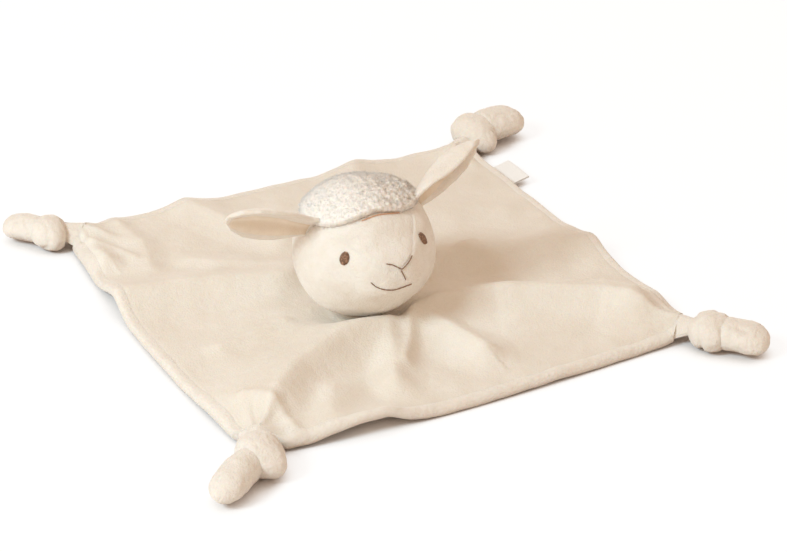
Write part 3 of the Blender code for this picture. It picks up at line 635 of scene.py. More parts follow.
def gather_lift(x, y):
    """The ridge that runs along each corner's diagonal up to its knot."""
    total = np.zeros_like(x)
    for corner in CORNERS:
        hinge, outward = lift_hinge("corner", corner)
        back = (hinge.x - x) * outward.x + (hinge.y - y) * outward.y
        aside = (hinge.y - y) * outward.x - (hinge.x - x) * outward.y
        total += bell(aside, GATHER_WIDTH) * soft_step(1.0 - back / GATHER_RUN) * (back > -GATHER_RUN)
    return GATHER_HEIGHT * total


def corner_pleats(x, y):
    """Ribs that fan out from each knot and die away across the cloth."""
    total = np.zeros_like(x)
    for corner in CORNERS:
        hinge, outward = lift_hinge("corner", corner)
        apart = np.hypot(x - hinge.x, y - hinge.y)
        turn = np.arctan2(y - hinge.y, x - hinge.x) - math.atan2(-outward.y, -outward.x)
        turn = (turn + math.pi) % math.tau - math.pi
        rib = np.cos(FAN_COUNT * turn + FAN_PHASE)
        total += rib * bell(apart - FAN_MIDDLE, FAN_REACH) * bell(turn, FAN_HALF)
    return total


def small_lift(x, y):
    """Wrinkles and pleats that both layers share, never below the floor."""
    wrinkles = ripple(x, y, 0.055, 3) + 0.5 * ripple(x, y, 0.022, 8)
    pleats = np.maximum(0.0, corner_pleats(x, y))
    small = np.maximum(0.0, sizes().wrinkle * (wrinkles + 0.7)) + sizes().pleat * pleats
    return small + crease_lift(x, y) + gather_lift(x, y)


def outline(share_x, share_y):
    """Left, right, front and back edge at a share of the half side across and along."""
    left = -BLANKET_HALF - LEFT_BOW * (1.0 - share_y**2)
    skew = 1.0 - FRONT_BOW_SKEW * share_x
    front = -BLANKET_HALF - FRONT_BOW * (1.0 - share_x**2) * skew
    return left, BLANKET_HALF, front, BLANKET_HALF


def plan(share_x, share_y, inset):
    """X and Y at shares of -1 to 1 of the half side, inside edges that are drawn in by the inset."""
    left, right, front, back = outline(share_x, share_y)
    x = mix(left + inset, right - inset, unit(share_x))
    y = mix(front + inset, back - inset, unit(share_y))
    return x, y


def cut_corners(piece):
    """Takes the four points off a layer, where the gathered sleeves begin."""
    for sign_x, sign_y, *_ in CORNERS.values():
        outward = Vector((sign_x, sign_y, 0.0)).normalized()
        with editing(piece):
            bpy.ops.mesh.bisect(
                plane_co=outward * CORNER_REACH, plane_no=outward, use_fill=True, clear_outer=True
            )
    return piece


def lay_top(u, v, depth):
    x, y = plan(u, v, TOP_INSET)
    edge = np.maximum(np.abs(u), np.abs(v))
    tuck = TOP_TUCK * soft_step((edge - 0.985) / 0.015)
    height = BLANKET_TOP - TOP_THICKNESS * depth - tuck * (1.0 - depth)
    return np.stack((x, y, height + fold_lift(x, y) + small_lift(x, y)), axis=1)


def roll_step(line, cells):
    """A grid line's share inside the tray, and its place in the roll's profile."""
    lines = len(ROLL_PROFILE)
    share = np.clip((line - lines) / (cells - 2 * lines), 0.0, 1.0) * 2.0 - 1.0
    ring = np.minimum(np.minimum(line, cells - line), lines)
    return share, ring


def lay_backing(u, v, depth):
    """The tray under the top cloth, whose outer grid lines make the rolled edge."""
    lines = len(ROLL_PROFILE)
    cells = TRAY_CELLS + 2 * lines
    column = np.rint(unit(u) * cells)
    row = np.rint(unit(v) * cells)
    share_x, ring_x = roll_step(column, cells)
    share_y, ring_y = roll_step(row, cells)
    profile = [(i, *shares) for i, shares in enumerate(ROLL_PROFILE)]
    profile.append((lines, 1.0, BACKING_THICKNESS / BLANKET_TOP, 0.0))
    x, y = plan(share_x, share_y, ROLL_WIDTH)
    x = x + np.sign(share_x) * ROLL_WIDTH * (1.0 - read_table(profile, ring_x, 1))
    y = y + np.sign(share_y) * ROLL_WIDTH * (1.0 - read_table(profile, ring_y, 1))
    ring = np.minimum(ring_x, ring_y)
    upper = read_table(profile, ring, 2)
    lower = read_table(profile, ring, 3)
    height = BLANKET_TOP * np.where(depth > 0.5, lower, upper)
    plump = 1.0 + 0.04 * ripple(x, y, 0.018, 5) * (ring < lines)
    return np.stack((x, y, height * plump + fold_lift(x, y) + small_lift(x, y)), axis=1)


# Head


def turned(lon):
    return (np.asarray(lon, dtype=float) + 180.0) % 360.0 - 180.0


def head_turn():
    turn = Matrix.Rotation(HEAD_TURN, 3, "Z")
    return turn @ Matrix.Rotation(HEAD_LEAN, 3, "X") @ Matrix.Rotation(HEAD_TILT, 3, "Y")


def head_centre():
    return NECK + head_turn() @ Vector((0.0, 0.0, HEAD_HALF[2] + HEAD_SEAT))


def head_points(lon, lat, out):
    """Points of the head at longitudes and latitudes in degrees, standing out of its bare form."""
    lon = turned(lon)
    around = np.radians(lon)
    up = np.radians(lat)
    level = np.cos(up)
    height = np.sin(up) + 0.0 * around
    way = np.stack((np.sin(around) * level, -np.cos(around) * level, height), axis=-1)
    outward = way / HEAD_HALF
    outward /= np.linalg.norm(outward, axis=-1, keepdims=True)
    snout = SNOUT_REACH * round_bell(lon * np.cos(up), SNOUT_SPREAD[0])
    snout = snout * round_bell(lat - SNOUT_LAT, SNOUT_SPREAD[1])
    cheek = CHEEK_REACH * bell((np.abs(lon) - CHEEK_LON) * np.cos(up), CHEEK_SPREAD)
    cheek = cheek * bell(lat - CHEEK_LAT, CHEEK_SPREAD)
    dimple = DIMPLE * ripple(way[..., 0], way[..., 2], 0.85, 17)
    form = way * HEAD_HALF + way * snout[..., None] + outward * (cheek + dimple + out)[..., None]
    return np.array(head_centre()) + form @ np.array(head_turn()).T


def degrees_of(length):
    return math.degrees(length / HEAD_HALF[0])


def crown_lat(lon):
    """Latitude of the cap's edge, with the table's bends rounded off."""
    steps = range(-12, 13, 4)
    return sum(read_table(CROWN_EDGE, np.abs(turned(lon + step))) for step in steps) / len(steps)


def neck_lat():
    return -math.degrees(math.acos(NECK_OPENING / HEAD_HALF[0]))


def seam_row(share):
    """Latitude of a row on the face's side seam, even below the nose and even above it."""
    nose = GUSSET_SEAM[0][0]
    top = GUSSET_SEAM[-1][0]
    below = mix(neck_lat(), nose, share / CHIN_SHARE)
    above = mix(nose, top, (share - CHIN_SHARE) / (1.0 - CHIN_SHARE))
    return np.where(share < CHIN_SHARE, below, above)


def turned_in(u, v, depth, sides=(1, 1, 1, 1), reach=0.07):
    """A panel's depth below its bare form: it rolls in to its seams on the left, right, foot and top."""
    near = [1.0 + u, 1.0 - u, 1.0 + v, 1.0 - v]
    dip = sum(on * bell(gap, reach) for on, gap in zip(sides, near))
    return -sizes().seam * np.minimum(dip, 1.0) - COVER_THICKNESS * depth


def lay_gusset(u, v, depth):
    share = unit(v)
    seam_top_lat, seam_top_lon = GUSSET_SEAM[-1]
    side_lat = mix(GUSSET_SEAM[0][0], seam_top_lat, share)
    rise = crown_lat(u * seam_top_lon) - seam_top_lat
    lon = u * read_table(GUSSET_SEAM, side_lat)
    return head_points(lon, side_lat + rise * share, turned_in(u, v, depth, (0.15, 1, 0, 1)))


def lay_cheek(side):
    seam_top_lat, seam_top_lon = GUSSET_SEAM[-1]

    def place(u, v, depth):
        share = unit(v)
        across = unit(u)
        side_lat = seam_row(share)
        front = np.where(share > CHIN_SHARE + 1e-6, read_table(GUSSET_SEAM, side_lat), 0.0)
        top_lon = mix(seam_top_lon, BACK_SEAM_LON, across)
        rise = crown_lat(top_lon) - seam_top_lat
        lon = mix(front, BACK_SEAM_LON, across)
        front_dip = mix(0.0, 1.0 if side > 0 else 0.15, soft_step((share - CHIN_SHARE) / 0.06))
        out = turned_in(u, v, depth, (front_dip, 1, 0, 1), 0.05)
        return head_points(side * lon, side_lat + rise * share, out)

    return place


def lay_back(u, v, depth):
    share = unit(v)
    lon = 180.0 + u * (180.0 - BACK_SEAM_LON)
    rise = crown_lat(lon) - GUSSET_SEAM[-1][0]
    return head_points(lon, seam_row(share) + rise * share, turned_in(u, v, depth))


def lay_cap(x, y, z):
    """The wool cap's base cloth: the ball's upper half is its outer face, the lower its inner face."""
    from_top = np.arccos(np.clip(z, -1.0, 1.0)) / math.pi
    lon = np.degrees(np.arctan2(x, -y))
    outer = from_top < 0.505
    share = np.where(outer, 2.0 * from_top, 2.0 * (1.0 - from_top))
    lat = mix(90.0, crown_lat(lon), share)
    from_edge = np.clip((1.0 - share) / WOOL_ROUNDING, 0.0, 1.0)
    lift = (WOOL_HEIGHT - 0.75 * sizes().wool_pile) * np.sqrt(from_edge * (2.0 - from_edge))
    return head_points(lon, lat, np.where(outer, lift, -COVER_THICKNESS))


def lay_filling(x, y, z):
    lon = np.degrees(np.arctan2(x, -y))
    lat = np.degrees(np.arcsin(np.clip(z, -1.0, 1.0)))
    return head_points(lon, lat, np.full_like(lon, -COVER_THICKNESS - HEAD_FILL_GAP))


# Ears


def ear_axes(side):
    """Hinge, and the directions along the leaf, across it and out of its lining."""
    along, facing = (Vector(way) for way in EAR_DIRECTIONS[side])
    along.normalize()
    facing = (facing - along * facing.dot(along)).normalized()
    return JOINT_PLACES[f"ear_{side}_flap"], along, along.cross(facing), facing


def lay_leaf(side, ends, sides, stand, thickness):
    """A leaf cupped towards its lining, with a rounded rim; its root runs back into the head."""
    hinge, along, across, facing = (np.array(way) for way in ear_axes(side))
    root_open, leaf_open = EAR_OPEN[side]
    cup = EAR_CUP * EAR_DEPTH[side]

    def place(u, v, depth):
        share = mix(*ends, unit(v))
        wide = read_table(EAR_OUTLINE, share)
        half = EAR_WIDTH / 2.0 * mix(root_open, leaf_open, soft_step(share / 0.45))
        aside = mix(*sides, unit(u)) * half * wide
        slope = (2.0 * cup * aside / half**2)[:, None]
        upright = facing - across * slope
        upright /= np.linalg.norm(upright, axis=1, keepdims=True)
        rim = np.sqrt(np.clip(1.0 - np.maximum(np.abs(u), np.abs(v)) ** 6, 0.0, 1.0))
        middle = stand + thickness / 2.0
        height = middle + (depth - 0.5) * thickness * mix(0.25, 1.0, rim)
        spot = along * mix(EAR_START, EAR_LENGTH, share)[:, None] + across * aside[:, None]
        spot = spot + facing * (cup * ((aside / half) ** 2 - EAR_ARCH * wide**2))[:, None]
        return hinge + spot + upright * height[:, None]

    return place


# Knotted corners


def sideways(direction):
    return Vector((-direction.y, direction.x, 0.0))


def lift_hinge(kind, corner):
    """Place of the hinge that lifts a corner or a tail, and the direction out of the blanket there."""
    name = f"{kind}_{corner}_lift"
    return JOINT_PLACES[name], UP.cross(JOINT_AXES[name]).normalized()


def knot_frame(corner):
    """Middle of the knot, its direction, and its half sizes."""
    hinge, outward = lift_hinge("corner", corner)
    *_, size_share, knot_turn, _ = CORNERS[corner]
    to_knot = Matrix.Rotation(math.radians(knot_turn), 3, "Z") @ outward
    centre = hinge + to_knot * KNOT_REACH * size_share
    centre.z = KNOT_HALF[2] * size_share + FLOOR_GAP
    return centre, to_knot, [half * size_share for half in KNOT_HALF]


def lay_sleeve(corner):
    """A pleated tube with one ring inside the blanket's corner and one inside the knot."""
    hinge, outward = lift_hinge("corner", corner)
    to_knot = knot_frame(corner)[1]
    size_share = CORNERS[corner][2]
    shift = KNOTS[corner][1]
    across = np.array(sideways(outward))
    start_half = CORNER_CUT - 0.0002
    dome_start, dome_run, dome_depth = SLEEVE_DOME

    def place(along, x, y):
        whole = SLEEVE_LENGTH * size_share + SLEEVE_SUNK + SLEEVE_INSIDE
        reach = along * whole - SLEEVE_INSIDE
        share = np.clip(reach / SLEEVE_LENGTH, 0.0, 1.0)
        heading = np.array(outward) + np.outer(share / 2.0, np.array(to_knot - outward))
        dome = np.sqrt(1.0 - dome_depth * np.clip((reach - dome_start) / dome_run, 0.0, 1.0) ** 2)
        half_width = mix(start_half, SLEEVE_END[0], soft_step(share))
        half_height = mix(BLANKET_TOP / 2.0 + 0.0003, SLEEVE_END[1], soft_step(share))
        arch = GATHER_HEIGHT * bell(x * half_width, GATHER_WIDTH) * (1.0 - soft_step(share))
        turn = np.arctan2(y, x)
        pleat = 1.0 + SLEEVE_PLEAT_DEPTH * np.cos(SLEEVE_PLEATS * turn + 1.0) * soft_step(share + 0.2)
        aside = x * half_width * pleat * dome
        spot = np.array(hinge) + heading * reach[:, None] + across * aside[:, None]
        spot[:, :2] += np.outer(share**2, shift)
        rise = arch + SLEEVE_RISE * soft_step(share)
        spot[:, 2] = rise + half_height + FLOOR_GAP + y * half_height * pleat * dome
        spot[:, 2] = np.maximum(spot[:, 2], FLOOR_GAP)
        return spot

    return place


def lay_knot(corner):
    """A plump lump with a lobe and a slanting strap, whose creases are deepest underneath."""
    centre, to_knot, half = knot_frame(corner)
    across = sideways(to_knot)
    shares, shift, heading, lobe = KNOTS[corner]
    half = (np.array(half) - COVER_INSET) * np.array(shares)
    middle = np.array((centre.x + shift[0], centre.y + shift[1], half[2] + FLOOR_GAP))
    slant = np.array((to_knot + across * STRAP_SLANT[0] + UP * STRAP_SLANT[1]).normalized())
    axes = np.array((to_knot, across, UP))
    heading = math.radians(heading)
    toward_lobe = np.array((math.cos(heading), math.sin(heading), LOBE_DROP))

    def place(x, y, z):
        way = np.stack((x, y, z), axis=1)
        full = (np.abs(way) ** KNOT_FULLNESS).sum(axis=1) ** (-1.0 / KNOT_FULLNESS)
        spot = (way * full[:, None] * half) @ axes
        step = spot @ slant
        depth = STRAP_DEPTH[0] - STRAP_DEPTH[1] * z
        dip = depth * sum(bell(step + away, width) for away, width in STRAP_CREASES)
        swell = lobe * np.clip((way @ axes) @ toward_lobe, 0.0, 1.0) ** 2
        spot = spot * (1.0 - dip / KNOT_HALF[1])[:, None] + np.outer(swell, toward_lobe)
        placed = middle + spot
        placed[:, 2] = np.maximum(placed[:, 2], FLOOR_GAP)
        return placed

    return place


def lay_tail(corner):
    """A lobe as wide as the knot's mouth, with a shallow fold along its top where the cloth doubles."""
    hinge, to_tail = lift_hinge("tail", corner)
    shares, shift = TAILS[corner]
    size_share = CORNERS[corner][2]
    across = np.array(sideways(to_tail))
    length = TAIL_LENGTH * size_share * shares[0]
    half_width = (TAIL_HALF[0] * size_share - COVER_INSET) * shares[1]
    half_height = (TAIL_HALF[1] * size_share - COVER_INSET) * shares[2]

    def place(x, y, z):
        from_tip = np.arccos(np.clip(z, -1.0, 1.0)) / math.pi
        turn = np.arctan2(y, x)
        reach = length * read_table(TAIL_PROFILE, from_tip, 1)
        wide = half_width * read_table(TAIL_PROFILE, from_tip, 2)
        high = half_height * read_table(TAIL_PROFILE, from_tip, 3)
        fold = bell(turn - math.pi / 2.0 - 0.5, 0.16) * bell(from_tip - 0.52, 0.16)
        full = 1.0 - TAIL_FOLD_DEPTH * fold
        spot = np.array(hinge) + np.outer(reach, np.array(to_tail))
        spot = spot + across * (np.cos(turn) * wide * full)[:, None]
        spot[:, :2] += shift
        rise = (shares[2] - 1.0) * half_height
        spot[:, 2] += np.sin(turn) * high * full + rise + TAIL_RISE * soft_step(from_tip / 0.6)
        spot[:, 2] = np.maximum(spot[:, 2], FLOOR_GAP)
        return spot

    return place


# Node trees


class Wire:
    """A node's output that reads like a number: sums and products of wires add Math nodes."""

    def __init__(self, tree, socket):
        self.tree = tree
        self.socket = socket

    def out(self, name):
        """Another output of the same node."""
        return Wire(self.tree, self.socket.node.outputs[name])

    def math(self, operation, other):
        return self.tree.node("ShaderNodeMath", {"operation": operation}, {0: self, 1: other})

    def __add__(self, other):
        return self.math("ADD", other)

    def __sub__(self, other):
        return self.math("SUBTRACT", other)

    def __mul__(self, other):
        return self.math("MULTIPLY", other)


class Tree:
    """A node tree being wired up."""

    def __init__(self, node_tree):
        self.node_tree = node_tree

    def node(self, kind, settings=(), sockets=(), output=0):
        """Adds a node: its settings first, then its sockets' values or links."""
        made = self.node_tree.nodes.new(kind)
        for name, value in dict(settings).items():
            setattr(made, name, value)
        for name, value in dict(sockets).items():
            self.feed(made.inputs[name], value)
        return Wire(self, made.outputs[output] if made.outputs else None)

    def feed(self, socket, value):
        if isinstance(value, Wire):
            self.node_tree.links.new(value.socket, socket)
        else:
            socket.default_value = value

    def seen(self):
        """1 for rays from the camera, straight or by way of a mirror or glass."""
        either = self.node("ShaderNodeLightPath", output="Is Camera Ray")
        for ray in ("Is Glossy Ray", "Is Transmission Ray"):
            either = either.math("MAXIMUM", self.node("ShaderNodeLightPath", output=ray))
        return either


# Pile


def tuft_model():
    """One curved tuft, modelled once and kept off the render: root at the origin, one metre long."""
    found = bpy.data.objects.get("tuft_model")
    if found is not None:
        return found
    upright("cone", vertices=3, radius1=1.0, radius2=0.0)
    tuft = named("tuft_model")
    with editing(tuft):
        bpy.ops.mesh.subdivide(number_cuts=1)
    for spot in tuft.data.vertices:
        width = 1.5 if 0.1 < spot.co.z < 0.9 else 1.0
        spot.co.x = spot.co.x * width + 1.2 * spot.co.z**2
        spot.co.y *= width
    faces_out(tuft)
    tuft.hide_render = True
    tuft.hide_viewport = True
    return tuft


def pile_nodes(length, radius):
    """A node tree that replaces a skin by tufts which stand on it and lean together in clumps."""
    group = bpy.data.node_groups.new("pile", "GeometryNodeTree")
    for way in ("INPUT", "OUTPUT"):
        group.interface.new_socket("Geometry", in_out=way, socket_type="NodeSocketGeometry")
    tree = Tree(group)

    def draw(low, high, step):
        """A random vector for each tuft."""
        sockets = {"Min": low, "Max": high, "Seed": PILE_SEED + step}
        return tree.node("FunctionNodeRandomValue", {"data_type": "FLOAT_VECTOR"}, sockets)

    def vector(operation, sockets):
        return tree.node("ShaderNodeVectorMath", {"operation": operation}, sockets)

    spread = tree.node(
        "GeometryNodeDistributePointsOnFaces",
        {},
        {"Mesh": tree.node("NodeGroupInput"), "Density": PILE_PER_SQUARE_METRE, "Seed": PILE_SEED},
    )
    clumps = {"Scale": 1.0 / PILE_CLUMP_SIZE, "Detail": 1.0}
    noise = tree.node("ShaderNodeTexNoise", {}, clumps, "Color")
    drift = vector("SUBTRACT", {0: noise, 1: (0.5, 0.5, 0.5)})
    drift = vector("SCALE", {0: drift, "Scale": PILE_CLUMP})
    way = vector("ADD", {0: drift, 1: draw((-PILE_LEAN,) * 3, (PILE_LEAN,) * 3, 1)})
    way = vector("ADD", {0: way, 1: spread.out("Normal")})
    spin = draw((0.0, 0.0, 0.0), (0.0, 0.0, math.tau), 2)
    spin = tree.node("FunctionNodeEulerToRotation", {}, {0: spin})
    turns = {"Rotation": spin, "Vector": way}
    heading = tree.node("FunctionNodeAlignRotationToVector", {"axis": "Z"}, turns)
    least, most = (tuple(share * side for side in (radius, radius, length)) for share in TUFT_RANGE)
    tuft = tree.node("GeometryNodeObjectInfo", {}, {"Object": tuft_model()}, "Geometry")
    grown = tree.node(
        "GeometryNodeInstanceOnPoints",
        {},
        {
            "Points": spread.out("Points"),
            "Instance": tuft,
            "Rotation": heading,
            "Scale": draw(least, most, 3),
        },
    )
    real = tree.node("GeometryNodeRealizeInstances", {}, {0: grown})
    tree.node("NodeGroupOutput", {}, {0: real})
    return group


def grow_pile(name, skin, keep):
    """Tufts on a copy of a skin, on the faces where keep(centres, normals) is true."""
    pile = copy_of(skin, name)
    faces = pile.data.polygons
    found = {}
    for kind in ("center", "normal"):
        values = np.empty(len(faces) * 3)
        faces.foreach_get(kind, values)
        found[kind] = values.reshape(-1, 3)
    kept = keep(found["center"], found["normal"])
    with editing(pile, "DESELECT"):
        bpy.ops.mesh.select_mode(type="FACE")
    pile.data.polygons.foreach_set("select", ~kept)
    with editing(pile, None):
        bpy.ops.mesh.delete(type="FACE")
        bpy.ops.mesh.select_mode(type="VERT")
    apply_modifier(pile, "NODES", node_group=pile_nodes(sizes().wool_pile, sizes().tuft))
    hold(pile)
    bpy.ops.object.shade_smooth()
    return apply_modifier(
        pile,
        "DATA_TRANSFER",
        object=skin,
        use_loop_data=True,
        data_types_loops={"CUSTOM_NORMAL"},
        loop_mapping="POLYINTERP_NEAREST",
    )


# Materials


class Recipe(Tree):
    """A material being built round its Principled shader."""

    def __init__(self, name):
        self.material = bpy.data.materials.new(name)
        self.material.use_nodes = True
        super().__init__(self.material.node_tree)
        self.shader = self.node_tree.nodes["Principled BSDF"]

    def place(self, kind="Object"):
        return self.node("ShaderNodeTexCoord", output=kind)

    def noise(self, size, detail=2.0, roughness=0.5):
        """Noise whose lumps are about size metres wide."""
        sockets = {"Scale": 1.0 / size, "Detail": detail, "Roughness": roughness}
        return self.node("ShaderNodeTexNoise", {}, {"Vector": self.place(), **sockets})

    def blend(self, share, low, high):
        """A colour between two, by a share."""
        sockets = {0: share, 6: rgba(low), 7: rgba(high)}
        return self.node("ShaderNodeMix", {"data_type": "RGBA"}, sockets, output=2)

    def stretch(self, value, low, high):
        """A value of low to high spread over 0 to 1."""
        return self.node("ShaderNodeMapRange", {}, {"Value": value, "From Min": low, "From Max": high})

    def speckled(self, colour, patches, shade, speckle):
        """A colour in broad darker patches, under a fine speckle given by size, share and shade."""
        size, share, dark = speckle
        fine = self.stretch(self.noise(size, 2.0, 0.6), 0.25, 0.75)
        base = self.blend(patches, shaded(colour, shade), colour)
        return self.blend(fine * share, base, shaded(colour, dark))

    def bump(self, height, distance, strength=1.0):
        sockets = {"Height": height, "Distance": distance, "Strength": strength}
        self.feed(self.shader.inputs["Normal"], self.node("ShaderNodeBump", {}, sockets))

    def finish(self, colour, roughness, sheen=0.0, sheen_roughness=0.5, tint=WHITE, soft=0.0):
        looks = {
            "Base Color": colour,
            "Roughness": roughness,
            "Sheen Weight": sheen,
            "Sheen Roughness": sheen_roughness,
            "Sheen Tint": rgba(tint),
            "Subsurface Weight": soft,
            "Subsurface Radius": SOFT_RADIUS,
            "Subsurface Scale": 1.0,
            "Specular IOR Level": 0.25,
        }
        for name, value in looks.items():
            self.feed(self.shader.inputs[name], value)
        return self.material


def rgba(colour):
    return colour if isinstance(colour, Wire) else (*colour, 1.0)


def shaded(colour, share, warmth=1.0):
    """A colour made darker by a share; the blue falls most, as it does deep in a pile."""
    red, green, blue = colour
    return red * share, green * share ** (1.0 + 0.35 * warmth), blue * share ** (1.0 + 0.8 * warmth)


def times(colour, gain):
    """A brighter colour, held at white."""
    return tuple(min(1.0, gain * side) for side in colour)


def made_once(build):
    """Builds a material at its first call and hands the same one out afterwards."""
    name = build.__name__.replace("_", " ")

    def ready():
        return bpy.data.materials.get(name) or build(name)

    return ready


@made_once
def short_velour(name):
    colour = tuple(colours().velour)
    r = Recipe(name)
    nap = r.stretch(r.noise(0.030, 3.0), 0.35, 0.65)
    base = r.speckled(colour, nap, 0.93, (0.0011, 0.25, 0.86))
    r.bump(r.noise(0.0010, 2.0, 0.65) + r.noise(0.0050, 2.0) * 1.6, 0.0004, 0.8)
    return r.finish(base, 0.92, sheen=0.4, sheen_roughness=0.45, tint=SHEEN_TINT, soft=0.12)


@made_once
def head_velour(name):
    colour = tuple(min(1.0, side * gain) for side, gain in zip(colours().velour, HEAD_GAINS))
    r = Recipe(name)
    nap = r.stretch(r.noise(0.008, 3.0), 0.35, 0.65)
    base = r.speckled(colour, nap, 0.945, (0.0010, 0.18, 0.88))
    r.bump(r.noise(0.0010, 3.0, 0.7) + r.noise(0.0045, 2.0) * 1.6, 0.0005, 0.9)
    return r.finish(base, 0.95, sheen=0.8, tint=SHEEN_TINT, soft=0.12)


@made_once
def deep_plush(name):
    colour = tuple(colours().plush)
    r = Recipe(name)
    clumps = r.stretch(r.noise(0.0035, 3.0), 0.3, 0.7)
    base = r.speckled(colour, clumps, 0.95, (0.0012, 0.22, 0.86))
    r.bump(r.noise(0.0010, 3.0, 0.7) + r.noise(0.0038, 2.0) * 1.3, 0.0006, 0.9)
    return r.finish(base, 0.95, sheen=0.8, tint=SHEEN_TINT, soft=0.12)


@made_once
def wool_tufts(name):
    colour = tuple(colours().wool)
    r = Recipe(name)
    clumps = r.stretch(r.noise(0.0028, 2.0), 0.3, 0.7)
    glow = tuple(mix(side, 1.0, 0.5) for side in colour)
    base = r.blend(clumps, shaded(colour, 0.97), glow)
    return r.finish(base, 0.95, sheen=0.3, tint=WOOL_TINT)


@made_once
def wool_cloth(name):
    colour = tuple(colours().wool)
    r = Recipe(name)
    clumps = r.stretch(r.noise(0.0030, 2.0), 0.3, 0.7)
    base = r.blend(clumps, shaded(colour, 0.94), colour)
    r.bump(r.noise(0.0013, 3.0, 0.65), 0.0006, 0.9)
    return r.finish(base, 0.95, sheen=0.7, tint=WOOL_TINT, soft=0.12)


@made_once
def ear_knit(name):
    colour = tuple(colours().lining)
    r = Recipe(name)
    nap = r.stretch(r.noise(0.006, 3.0), 0.3, 0.7)
    # Painted shade: the lining darkens along its hollow middle and towards its root, where the ear tucks
    # against the head.
    across = r.node("ShaderNodeSeparateXYZ", {}, {0: r.place("UV")})
    root_shade = r.stretch(across.out(1), 0.30, 0.0)
    aside = across - 0.45
    hollow_shade = r.stretch(aside * aside, 0.10, 0.0)
    base = r.blend(nap, shaded(colour, 0.93), colour)
    base = r.blend(hollow_shade * 0.5, base, shaded(colour, 0.80))
    base = r.blend(root_shade * 0.6, base, shaded(colour, 0.72))
    r.bump(r.noise(0.0008, 2.0, 0.6), 0.0003, 0.7)
    return r.finish(base, 0.88, sheen=0.3, soft=0.1)


@made_once
def brown_thread(name):
    colour = tuple(colours().thread)
    r = Recipe(name)
    strands = r.node(
        "ShaderNodeTexWave",
        {"bands_direction": "DIAGONAL"},
        {"Vector": r.place(), "Scale": 1400.0, "Distortion": 1.5, "Detail": 1.0},
    )
    base = r.blend(strands, shaded(colour, 0.7, 0.3), times(colour, 1.5))
    r.bump(strands, 0.0001, 0.6)
    return r.finish(base, 0.55, sheen=0.1)


@made_once
def eye_thread(name):
    colour = tuple(colours().thread)
    r = Recipe(name)
    # The stitches are mottled lighter and darker at random.
    mottle = r.stretch(r.noise(0.0011, 3.0, 0.6), 0.42, 0.66)
    r.bump(r.noise(0.0006, 2.0), 0.0001, 0.6)
    return r.finish(r.blend(mottle, shaded(colour, 0.75, 0.3), times(colour, 1.9)), 0.6, sheen=0.1)


def twisted(name, size, low, high, roughness):
    """A thin thread between two colours along its twist."""
    r = Recipe(name)
    twist = r.noise(size)
    r.bump(twist, 0.0001, 0.5)
    return r.finish(r.blend(twist, low, high), roughness)


# Painted shadow: the brown of the line of shade under the cap's edge.
@made_once
def seam_thread(name):
    colour = tuple(colours().thread)
    return twisted(name, 0.0006, times(colour, 2.2), times(colour, 3.4), 0.8)


@made_once
def pale_thread(name):
    colour = tuple(colours().velour)
    return twisted(name, 0.0005, shaded(colour, 0.75), shaded(colour, 0.95), 0.6)


@made_once
def white_ribbon(name):
    colour = tuple(colours().ribbon)
    r = Recipe(name)
    warp, weft = (
        r.node("ShaderNodeTexWave", {"bands_direction": axis}, {"Vector": r.place("UV"), "Scale": 26.0})
        for axis in "XY"
    )
    weave = warp * weft
    r.bump(weave, 0.00012, 0.6)
    return r.finish(r.blend(weave, shaded(colour, 0.93, 0.0), colour), 0.5, sheen=0.1)


@made_once
def fibre_filling(name):
    colour = tuple(colours().filling)
    r = Recipe(name)
    fibres = r.noise(0.002, 4.0, 0.7)
    r.bump(fibres, 0.0015, 1.0)
    return r.finish(r.blend(fibres, shaded(colour, 0.8, 0.0), colour), 1.0)


@made_once
def studio_floor(name):
    """Pale floor: nearly white to the camera. Where the object hems it in, it throws back less light,
    and warmer, a painted shade on the object's undersides; its glow fades there too, a painted contact
    shade that lets the lamps' real shadow show.
    """
    r = Recipe(name)

    def openness(distance):
        return r.node("ShaderNodeAmbientOcclusion", {"samples": 8}, {"Distance": distance}, output=1)

    pale = r.blend(r.noise(0.05, 3.0), *FLOOR_COLOURS)
    # Painted shade: near the object, the floor's colour for all but camera rays turns to the darker,
    # warmer bounce colour.
    bright = r.seen().math("MAXIMUM", r.stretch(openness(0.06), 0.40, 0.95))
    r.finish(r.blend(bright, FLOOR_BOUNCE, pale), 0.9)
    glow = r.node("ShaderNodeEmission", {}, {"Color": rgba(WHITE), "Strength": FLOOR_GLOW})
    # Painted contact shade: the glow fades where the object hems the floor in, so the lamps' real shadow
    # shows there.
    share = r.seen() * r.stretch(openness(0.02), 0.32, 0.76) * 0.80
    surface = Wire(r, r.shader.outputs[0])
    mixed = r.node("ShaderNodeMixShader", {}, {0: share, 1: surface, 2: glow})
    r.feed(r.node_tree.nodes["Material Output"].inputs["Surface"], mixed)
    return r.material


# Operators, one for each piece or group of like pieces


class LOVEY_OT_top_cloth(bpy.types.Operator):
    """Lays the velour top over its backing"""

    bl_idname = "lovey.top_cloth"
    bl_label = "Top cloth"

    def execute(self, context):
        top = cut_corners(slab("top_cloth", TOP_CELLS, TOP_CELLS, lay_top))
        faces_out(top)
        dress(top, short_velour())
        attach(top, "blanket")
        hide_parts("top_panel")
        return {"FINISHED"}


class LOVEY_OT_backing_cloth(bpy.types.Operator):
    """Lays the plush backing, whose edge rolls up round the top"""

    bl_idname = "lovey.backing_cloth"
    bl_label = "Backing cloth"

    def execute(self, context):
        cells = TRAY_CELLS + 2 * len(ROLL_PROFILE)
        backing = cut_corners(slab("backing_cloth", cells, cells, lay_backing))
        faces_out(backing)
        dress(backing, deep_plush())
        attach(backing, "blanket")
        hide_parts("backing_panel")
        return {"FINISHED"}


